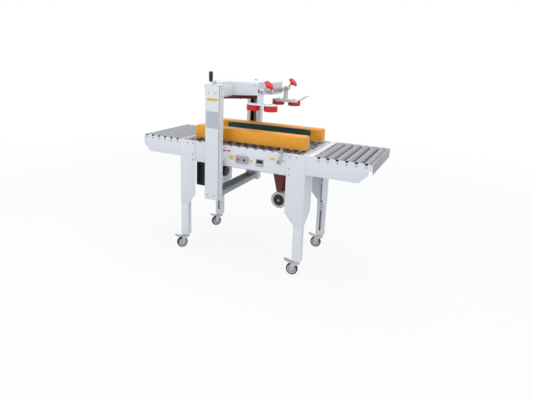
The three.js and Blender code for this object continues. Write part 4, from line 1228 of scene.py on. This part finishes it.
def lower_tape_head():
    piece = Piece("lower_tape_unit")
    x0, _, z0, x1, _, z1 = corners_of("lower_tape_head")
    roll = middle("lower_tape_roll")
    half = 35
    outline = rounded([(x0, 660), (roll.x - 70, 640), (roll.x - 46, 600), (roll.x - 12, z0),
                       (roll.x + 12, z0), (roll.x + 44, 600), (roll.x + 44, 660), (x1, 690), (x1, z1),
                       (x0, z1)], [8, 10, 10, 11, 11, 10, 8, 8, 12, 12])
    windows = [circle(x0 + 60, 740, 12), circle(x1 - 60, 740, 12),
               slot_hole(roll.x, 560, 70, 14)]
    piece.add(plate(outline, "xz", half - 4, half, windows, 0.8), "maroon_paint")
    short = list(dict.fromkeys((x, max(z, roll.z + 62)) for x, z in outline))
    piece.add(plate(short, "xz", -half, -half + 4, windows[:2], 0.8), "maroon_paint")
    rollers = ((-120, 769, 15, "black_tyre"), (205, 769, 15, "black_tyre"),
               (-20, 700, 11, "roller_steel"), (90, 690, 11, "roller_steel"))
    for ahead, z, radius, finish in rollers:
        x = BED_MIDDLE_X + ahead
        piece.add(rod(radius, -half + 4.4, half - 4.4, (x, 0, z), "y", 28, 1), finish)
        for y in (-half - 5, half):
            piece.add(rod(6, y, y + 5, (x, 0, z), "y", 6), "screw_steel")
    piece.add(rod(8, -half + 2, half - 2, (roll.x, 0, roll.z), "y", 28), "roller_steel")
    piece.add(rod(14, half, half + 5, (roll.x, 0, roll.z), "y", 6, 1), "screw_steel")
    ears = (BED_MIDDLE_X - 146, BED_MIDDLE_X + 236)
    piece.add(block((ears[0], -58.7, 718), (ears[1], 58.7, 726)), "zinc_plate")
    piece.done("root", ["lower_tape_head"])


def tape_roll():
    piece = Piece("tape_roll_wound")
    roll = middle("lower_tape_roll")
    outer, core, half = 58, 38, 24
    wound = [(core, -half), (outer - 1, -half), (outer, -half + 1)]
    piece.add(lathe(both_ways(wound), roll, "y", 64, closed=True), "tape_film")
    disc = [(9.2, -half - 4), (14, -half - 4), (15, -half - 1), (30, -half - 1), (32, -half - 4),
            (core - 1, -half - 4), (core + 2, -half - 0.2), (core, -half + 1)]
    piece.add(lathe(both_ways(disc), roll, "y", 56, closed=True), "black_plastic")
    for i in range(6):
        angle = i * math.pi / 3
        spoke = block((13, -half - 3.6, -2), (32, half + 3.6, 2), 0.8)
        piece.add(spoke, "black_plastic", Matrix.Translation(roll) @ Matrix.Rotation(angle, 4, "Y"))
    for side in (-1, 1):
        hub = rod(9, half + 0.5, half + 4, (0, 0, 0), "y", 28)
        piece.add(hub, "hub_plastic", Matrix.Translation(roll) @ Matrix.Scale(side, 4, (0, 1, 0)))
    piece.done("lower_tape_roll", ["lower_tape_roll"])


def controls():
    piece = Piece("switch_plate")
    x0, y0, z0, x1, y1, z1 = corners_of("switch_box")
    stop, start = middle("stop_button"), middle("start_button")
    outline = rectangle(x0, z0, x1, z1, 4)
    holes = [circle(stop.x, stop.z, 9.5), circle(start.x, start.z, 9.5)]
    piece.add(plate(outline, "xz", y0, y1, holes, 1.2), "grey_paint")
    for button in (stop, start):
        bezel = lathe([(9.5, -2), (12, -2), (13, 0), (9.5, 0.4)],
                      (button.x, y0, button.z), "y", 36, closed=True)
        piece.add(bezel, "screw_steel")
    piece.done("root", ["switch_box"])
    for name, finish in (("stop_button", "red_plastic"), ("start_button", "black_plastic")):
        lo, hi = box(name)
        place = middle(name)
        cap = Piece(f"{name}_cap")
        profile = [(0, lo.y), (6, lo.y + 0.2), (8, lo.y + 1), (9, lo.y + 3), (9, hi.y), (0, hi.y)]
        cap.add(lathe(profile, (place.x, 0, place.z), "y", 36), finish)
        cap.done(name, [name])


def breaker():
    """The breaker behind its window: dark upper half, cream lower half and a toggle."""
    piece = Piece("breaker_window")
    y = -PANEL_FACE
    x0, x1, z0, z1 = 84, 136, 686, 731
    opening = rectangle(x0 + 4, z0 + 4, x1 - 4, z1 - 4)
    piece.add(plate(rectangle(x0, z0, x1, z1, 3), "xz", y - 4, y + 0.5, [opening], 0.8), "grey_paint")
    piece.add(block((x0 + 4, y - 2.6, z0 + 4), (x1 - 4, y + 0.5, z0 + 18)), "cream_plastic")
    piece.add(block((x0 + 4, y - 2.2, z0 + 18), (x1 - 4, y + 0.5, z1 - 4)), "black_plastic")
    for i in range(2):
        x = x0 + (14 + 17 * i)
        piece.add(block((x, y - 6, z0 + 20), (x + 7, y - 1, z0 + 30), 1), "black_plastic")
    piece.done("root")


# left, low, right and high edge on the front panel
PANEL_MARKS = ((-126, 755, -104, 764, "red_plastic"), (-112, 704, -84, 732, "blank_mark"),
               (40, 700, 58, 718, "blank_mark"), (176, 742, 214, 754, "blank_mark"),
               (262, 738, 278, 750, "blank_mark"))


def blank_marks():
    """Plain plates and patches: they carry no words or signs."""
    piece = Piece("blank_plates")
    y = -PANEL_FACE
    for x0, z0, x1, z1, finish in PANEL_MARKS:
        outline = rectangle(x0, z0, x1, z1, 2)
        piece.add(plate(outline, "xz", y - 0.6, y + 0.2, (), 0.2), finish)
    face = -COLUMN_FACE
    piece.add(plate(rectangle(-152, 755, -129, 764, 2), "xz", -COLUMN_INNER + 0.4 - 2,
                    -COLUMN_INNER - 0.8, (), 0.2), "red_plastic")
    for x0, z0, x1, z1, finish in ((COLUMN_X0 + 11, 910, COLUMN_X1 - 7, 1019, "blank_plate"),
                                   (COLUMN_X0 + 14, 1088, COLUMN_X1 - 12, 1104, "blank_mark")):
        outline = rectangle(x0, z0, x1, z1, 3)
        piece.add(plate(outline, "xz", face - 0.6, face + 0.3, (), 0.2), finish)
    piece.done("root")


def width_crank():
    piece = Piece("width_crank_turned")
    pin = pin_of("width_crank_turn")
    here = Matrix.Translation((pin.x, 0, pin.z)) @ Matrix.Rotation(math.radians(16), 4, "Y")
    out = -PANEL_FACE - 0.3
    piece.add(rod(6, out - 16, -PANEL_FACE + 15, (0, 0, 0), "y", 24), "roller_steel", here)
    piece.add(rod(12, out - 14, out - 0.2, (0, 0, 0), "y", 32, 1.5), "zinc_plate", here)
    arm = rounded([(-7, -10), (7, -10), (5.5, 88), (-5.5, 88)], 5, 6)
    piece.add(plate(arm, "xz", out - 14, out - 8, (), 1), "zinc_plate", here)
    low = box("width_crank")[0].y
    grip = [(0, low), (6, low + 0.5), (9, low + 4), (8, low + 20), (9, out - 20), (7, out - 15),
            (0, out - 15)]
    piece.add(lathe(grip, (0, 0, 80), "y", 32), "grey_paint", here)
    piece.done("width_crank", ["width_crank"])


def fasteners():
    """Button heads, one mesh for each body and size."""
    ways = ((0, -1, 0), (0, 1, 0), (-1, 0, 0), (1, 0, 0), (0, 0, 1))
    front, back, left, right, up = (Vector(way) for way in ways)
    bracket = [(104, 0, z, front) for z in (778, 700, 664)]
    bracket += [(60, 0, 778, front), (0, 104, 778, left), (0, 104, 700, left)]
    panel = []
    for corner in CORNERS:
        here = corner_matrix(corner)
        flip = here.to_3x3()
        for x, y, z, way in bracket:
            panel.append((here @ Vector((x, y, z)), (flip @ way).normalized()))
    for side in SIDES:
        here = mirrored(side)
        flip = here.to_3x3()
        for x in (-70, 70):
            for z in (700, 780):
                panel.append((here @ Vector((COLUMN_X + x, -COLUMN_INNER, z)), flip @ front))
        for x in (-28, 20):
            panel.append((here @ Vector((COLUMN_X + x, -COLUMN_FACE, 1140)), flip @ front))
            panel.append((here @ Vector((COLUMN_X + x, -COLUMN_FACE, 458)), flip @ front))
        for z in (1165, 1120, 452):
            panel.append((here @ Vector((COLUMN_X1, -COLUMN_FACE + 28, z)), right))
    screws("frame_screws", "root", panel, size("screw_head"))
    ends = []
    for node in TABLE_ROLLERS:
        centre = middle(node)
        reach = box(node)[1].y
        for way in (front, back):
            ends.append((Vector((centre.x, way.y * reach, centre.z)), way))
    screws("axle_screws", "root", ends, size("screw_head"))
    head_top = box("head_carrier")[1].z + HEAD_CROWN
    x0 = box("head_carrier")[0].x
    tops = [(Vector((x, y, head_top)), up) for x in (x0 + 60, x0 + 300) for y in (-60, 60)]
    tops += [(Vector((x, -90, z)), front) for x, z in ((x0 + 24, 1176), (x0 + 320, 1182), (x0 + 24, 1116))]
    tops += [(Vector((x, 170, head_top - 8)), up) for x in (BED_MIDDLE_X - 90, BED_MIDDLE_X + 40)]
    screws("head_screws", "head", tops, size("small_screw"))
    for side in SIDES:
        here = mirrored(side)
        flip = here.to_3x3()
        x0, y0, _, x1, y1, z1 = corners_of("belt_housing_front")
        spots = [(here @ Vector((x0 + f * (x1 - x0), y, z1 + 1.2)), up) for f in (0.03, 0.25, 0.5, 0.75, 0.97)
                 for y in (y0 + 16, y1 - 14)]
        spots += [(here @ Vector((x, y1 - 0.2, z1 - 41)), flip @ back) for x in (x0 + 30, x1 - 30)]
        screws(f"housing_screws_{side}", f"belt_carriage_{side}", spots, size("small_screw"))
    x0, y0, z0, x1, y1, z1 = corners_of("switch_box")
    spots = [(Vector((x, y0, z)), front) for x in (x0 + 5, x1 - 5) for z in (z0 + 5, z1 - 5)]
    screws("switch_screws", "root", spots, 5)


# ---------------------------------------------------------------- stage
CAMERA_PLACE = (1.27746, -2.71597, 1.40438)
CAMERA_YAW, CAMERA_PITCH, CAMERA_ROLL = 26.3198, -11.2241, 1.6779
LENS, SHIFT_X, SHIFT_Y = 29.71, 0.0243, -0.1148
LAMPS = (("key", (-1.8, -2.6, 3.2), 40, 2.6), ("fill", (2.8, -1.6, 2.4), 16, 2.6),
         ("top", (0.2, 0.4, 3.6), 42, 3.0))
LAMP_AIM = (0, 0, 0.7)
WORLD_SOFT = 0.56  # strength of the light that falls on surfaces
FLOOR_REACH = 14.0
FLOOR_GLOW = 0.86  # share of plain white near the machine, so that a soft shadow stays
FLOOR_FADE = (1.4, 5.0)  # between these distances the floor turns fully white


def camera():
    yaw, pitch, roll = (math.radians(a) for a in (CAMERA_YAW, CAMERA_PITCH, CAMERA_ROLL))
    forward = Vector((-math.sin(yaw) * math.cos(pitch), math.cos(yaw) * math.cos(pitch), math.sin(pitch)))
    right = Vector((math.cos(yaw), math.sin(yaw), 0))
    up = right.cross(forward)
    side = math.cos(roll) * right + math.sin(roll) * up
    top = -math.sin(roll) * right + math.cos(roll) * up
    matrix = Matrix((side, top, -forward)).transposed().to_4x4()
    matrix.translation = Vector(CAMERA_PLACE)
    data = bpy.data.cameras.new("camera")
    data.lens, data.sensor_width = LENS, 36
    data.shift_x, data.shift_y = SHIFT_X, SHIFT_Y
    thing = bpy.data.objects.new("camera", data)
    thing.matrix_world = matrix
    bpy.context.scene.collection.objects.link(thing)
    bpy.context.scene.camera = thing


def lamp(name, place, power, size):
    data = bpy.data.lights.new(name, "AREA")
    data.energy, data.size = power, size
    thing = bpy.data.objects.new(name, data)
    thing.location = place
    aim = Vector(LAMP_AIM) - Vector(place)
    thing.rotation_euler = aim.to_track_quat("-Z", "Y").to_euler()
    bpy.context.scene.collection.objects.link(thing)


def seen_straight(tree):
    """1 for rays from the camera and for sharp reflections, 0 for light that falls on surfaces."""
    path = tree.nodes.new("ShaderNodeLightPath")
    most = tree.nodes.new("ShaderNodeMath")
    most.operation = "MAXIMUM"
    tree.links.new(path.outputs["Is Camera Ray"], most.inputs[0])
    both = tree.nodes.new("ShaderNodeMath")
    both.operation = "MAXIMUM"
    tree.links.new(path.outputs["Is Glossy Ray"], both.inputs[0])
    tree.links.new(path.outputs["Is Transmission Ray"], both.inputs[1])
    tree.links.new(both.outputs[0], most.inputs[1])
    return most.outputs[0]


def world():
    scene_world = bpy.data.worlds.new("studio")
    scene_world.use_nodes = True
    bpy.context.scene.world = scene_world
    tree = scene_world.node_tree
    tree.nodes.clear()
    soft, plain = tree.nodes.new("ShaderNodeBackground"), tree.nodes.new("ShaderNodeBackground")
    soft.inputs["Color"].default_value = (0.94, 0.96, 1.0, 1)
    soft.inputs["Strength"].default_value = WORLD_SOFT
    plain.inputs["Color"].default_value = (1, 1, 1, 1)
    plain.inputs["Strength"].default_value = 1.0
    mix, out = tree.nodes.new("ShaderNodeMixShader"), tree.nodes.new("ShaderNodeOutputWorld")
    tree.links.new(seen_straight(tree), mix.inputs[0])
    tree.links.new(soft.outputs[0], mix.inputs[1])
    tree.links.new(plain.outputs[0], mix.inputs[2])
    tree.links.new(mix.outputs[0], out.inputs["Surface"])


def floor():
    mesh = bpy.data.meshes.new("floor")
    corners = [(x, y, 0) for x, y in rectangle(-FLOOR_REACH, -FLOOR_REACH, FLOOR_REACH, FLOOR_REACH)]
    mesh.from_pydata(corners, [], [(0, 1, 2, 3)])
    material = bpy.data.materials.new("pale_floor")
    material.use_nodes = True
    tree = material.node_tree
    shader = tree.nodes["Principled BSDF"]
    shader.inputs["Base Color"].default_value = (0.90, 0.90, 0.91, 1)
    shader.inputs["Roughness"].default_value = 0.9
    glow, mix = tree.nodes.new("ShaderNodeEmission"), tree.nodes.new("ShaderNodeMixShader")
    place, away = tree.nodes.new("ShaderNodeTexCoord"), tree.nodes.new("ShaderNodeVectorMath")
    away.operation = "LENGTH"
    fade, share = tree.nodes.new("ShaderNodeMapRange"), tree.nodes.new("ShaderNodeMath")
    fade.interpolation_type = "SMOOTHSTEP"
    for key, value in zip(("From Min", "From Max", "To Min", "To Max"), (*FLOOR_FADE, FLOOR_GLOW, 1.0)):
        fade.inputs[key].default_value = value
    share.operation = "MULTIPLY"
    tree.links.new(place.outputs["Object"], away.inputs[0])
    tree.links.new(away.outputs["Value"], fade.inputs["Value"])
    tree.links.new(fade.outputs["Result"], share.inputs[1])
    tree.links.new(seen_straight(tree), share.inputs[0])
    tree.links.new(share.outputs[0], mix.inputs[0])
    tree.links.new(shader.outputs[0], mix.inputs[1])
    tree.links.new(glow.outputs[0], mix.inputs[2])
    tree.links.new(mix.outputs[0], tree.nodes["Material Output"].inputs["Surface"])
    mesh.materials.append(material)
    thing = bpy.data.objects.new("floor", mesh)
    bpy.context.scene.collection.objects.link(thing)


# ---------------------------------------------------------------- operators
def operator(name, label, text, *makers):
    """An operator class that runs the makers."""

    def execute(self, context):
        for maker in makers:
            maker()
        return {"FINISHED"}

    return type(f"SEALER_OT_{name}", (bpy.types.Operator,),
                {"bl_idname": f"sealer.{name}", "bl_label": label, "__doc__": text, "execute": execute})


def each(maker, *choices):
    return lambda: [maker(*(choice if isinstance(choice, tuple) else (choice,))) for choice in choices]


def prepare():
    FINISHES.update(make_finishes())
    TREES["row"], TREES["scatter"] = row_tree(), scatter_tree()


def tables():
    places = {name: [middle(f"{name}_roller_{i}").x for i in range(1, 7)] for name in ENDS}
    infeed, outfeed = box("infeed_table"), box("outfeed_table")
    table("infeed_table", infeed[1].x, infeed[0].x, places["infeed"])
    table("outfeed_table", outfeed[0].x, outfeed[1].x - END_PLATE_REACH, places["outfeed"])


OPERATORS = [
    operator("prepare", "Finishes", "Make the finishes and the node trees", prepare),
    operator("frame", "Frame", "Make the frame panels and the bed rollers", frame_body,
             each(bed_rollers, *SIDES)),
    operator("tables", "Roller tables", "Make both roller tables", tables),
    operator("rollers", "Table rollers", "Make the table rollers",
             each(table_roller, *TABLE_ROLLERS)),
    operator("legs", "Legs", "Make the leg brackets and legs", each(leg_and_bracket, *CORNERS)),
    operator("casters", "Casters", "Make the casters", each(caster, *CORNERS)),
    operator("columns", "Columns", "Make the columns and the crossbar", each(column, *SIDES), column_collar,
             crossbar),
    operator("screws", "Lifting screws", "Make the crank and the rear lifting screw", lift_crank, rear_screw),
    operator("head", "Head", "Make the lifting head", head, upper_tape_head, press_rod),
    operator("press", "Press rollers", "Make the press brackets, rollers and knobs",
             each(press_bracket, *SIDES),
             each(press_roller, *[(side, end) for side in SIDES for end in ENDS]),
             each(clamp_knob, *SIDES)),
    operator("belts", "Side belts", "Make the belt housings, belts and motor", each(belt_carriage, *SIDES),
             drive_motor),
    operator("tape", "Lower tape head", "Make the lower tape head and its roll", lower_tape_head, tape_roll),
    operator("controls", "Controls", "Make switches, breaker, crank and plain plates", controls, breaker,
             blank_marks, width_crank),
    operator("fasteners", "Fasteners", "Make the screws", fasteners),
    operator("stage", "Stage", "Make the camera, lamps, world and floor", camera, world, floor,
             each(lamp, *LAMPS)),
]


class SEALER_PT_panel(bpy.types.Panel):
    """Lists the pieces of the sealer"""

    bl_label = "Carton Sealer"
    bl_idname = "SEALER_PT_panel"
    bl_space_type = "VIEW_3D"
    bl_region_type = "UI"
    bl_category = "Carton Sealer"

    def draw(self, context):
        for group in (colours(), context.scene.sealer_sizes):
            for key in group.bl_rna.properties.keys():
                if key not in ("rna_type", "name"):
                    self.layout.prop(group, key)
        for kind in OPERATORS:
            self.layout.operator(kind.bl_idname)


CLASSES = [SealerColours, SealerSizes, *OPERATORS, SEALER_PT_panel]


def register():
    for kind in CLASSES:
        bpy.utils.register_class(kind)
    bpy.types.Scene.sealer_colours = PointerProperty(type=SealerColours)
    bpy.types.Scene.sealer_sizes = PointerProperty(type=SealerSizes)


def unregister():
    del bpy.types.Scene.sealer_sizes
    del bpy.types.Scene.sealer_colours
    for kind in reversed(CLASSES):
        bpy.utils.unregister_class(kind)


def main():
    register()
    bpy.context.scene.view_settings.view_transform = "Standard"
    for kind in OPERATORS:
        getattr(bpy.ops.sealer, kind.bl_idname.split(".")[1])()


if __name__ == "__main__":
    main()
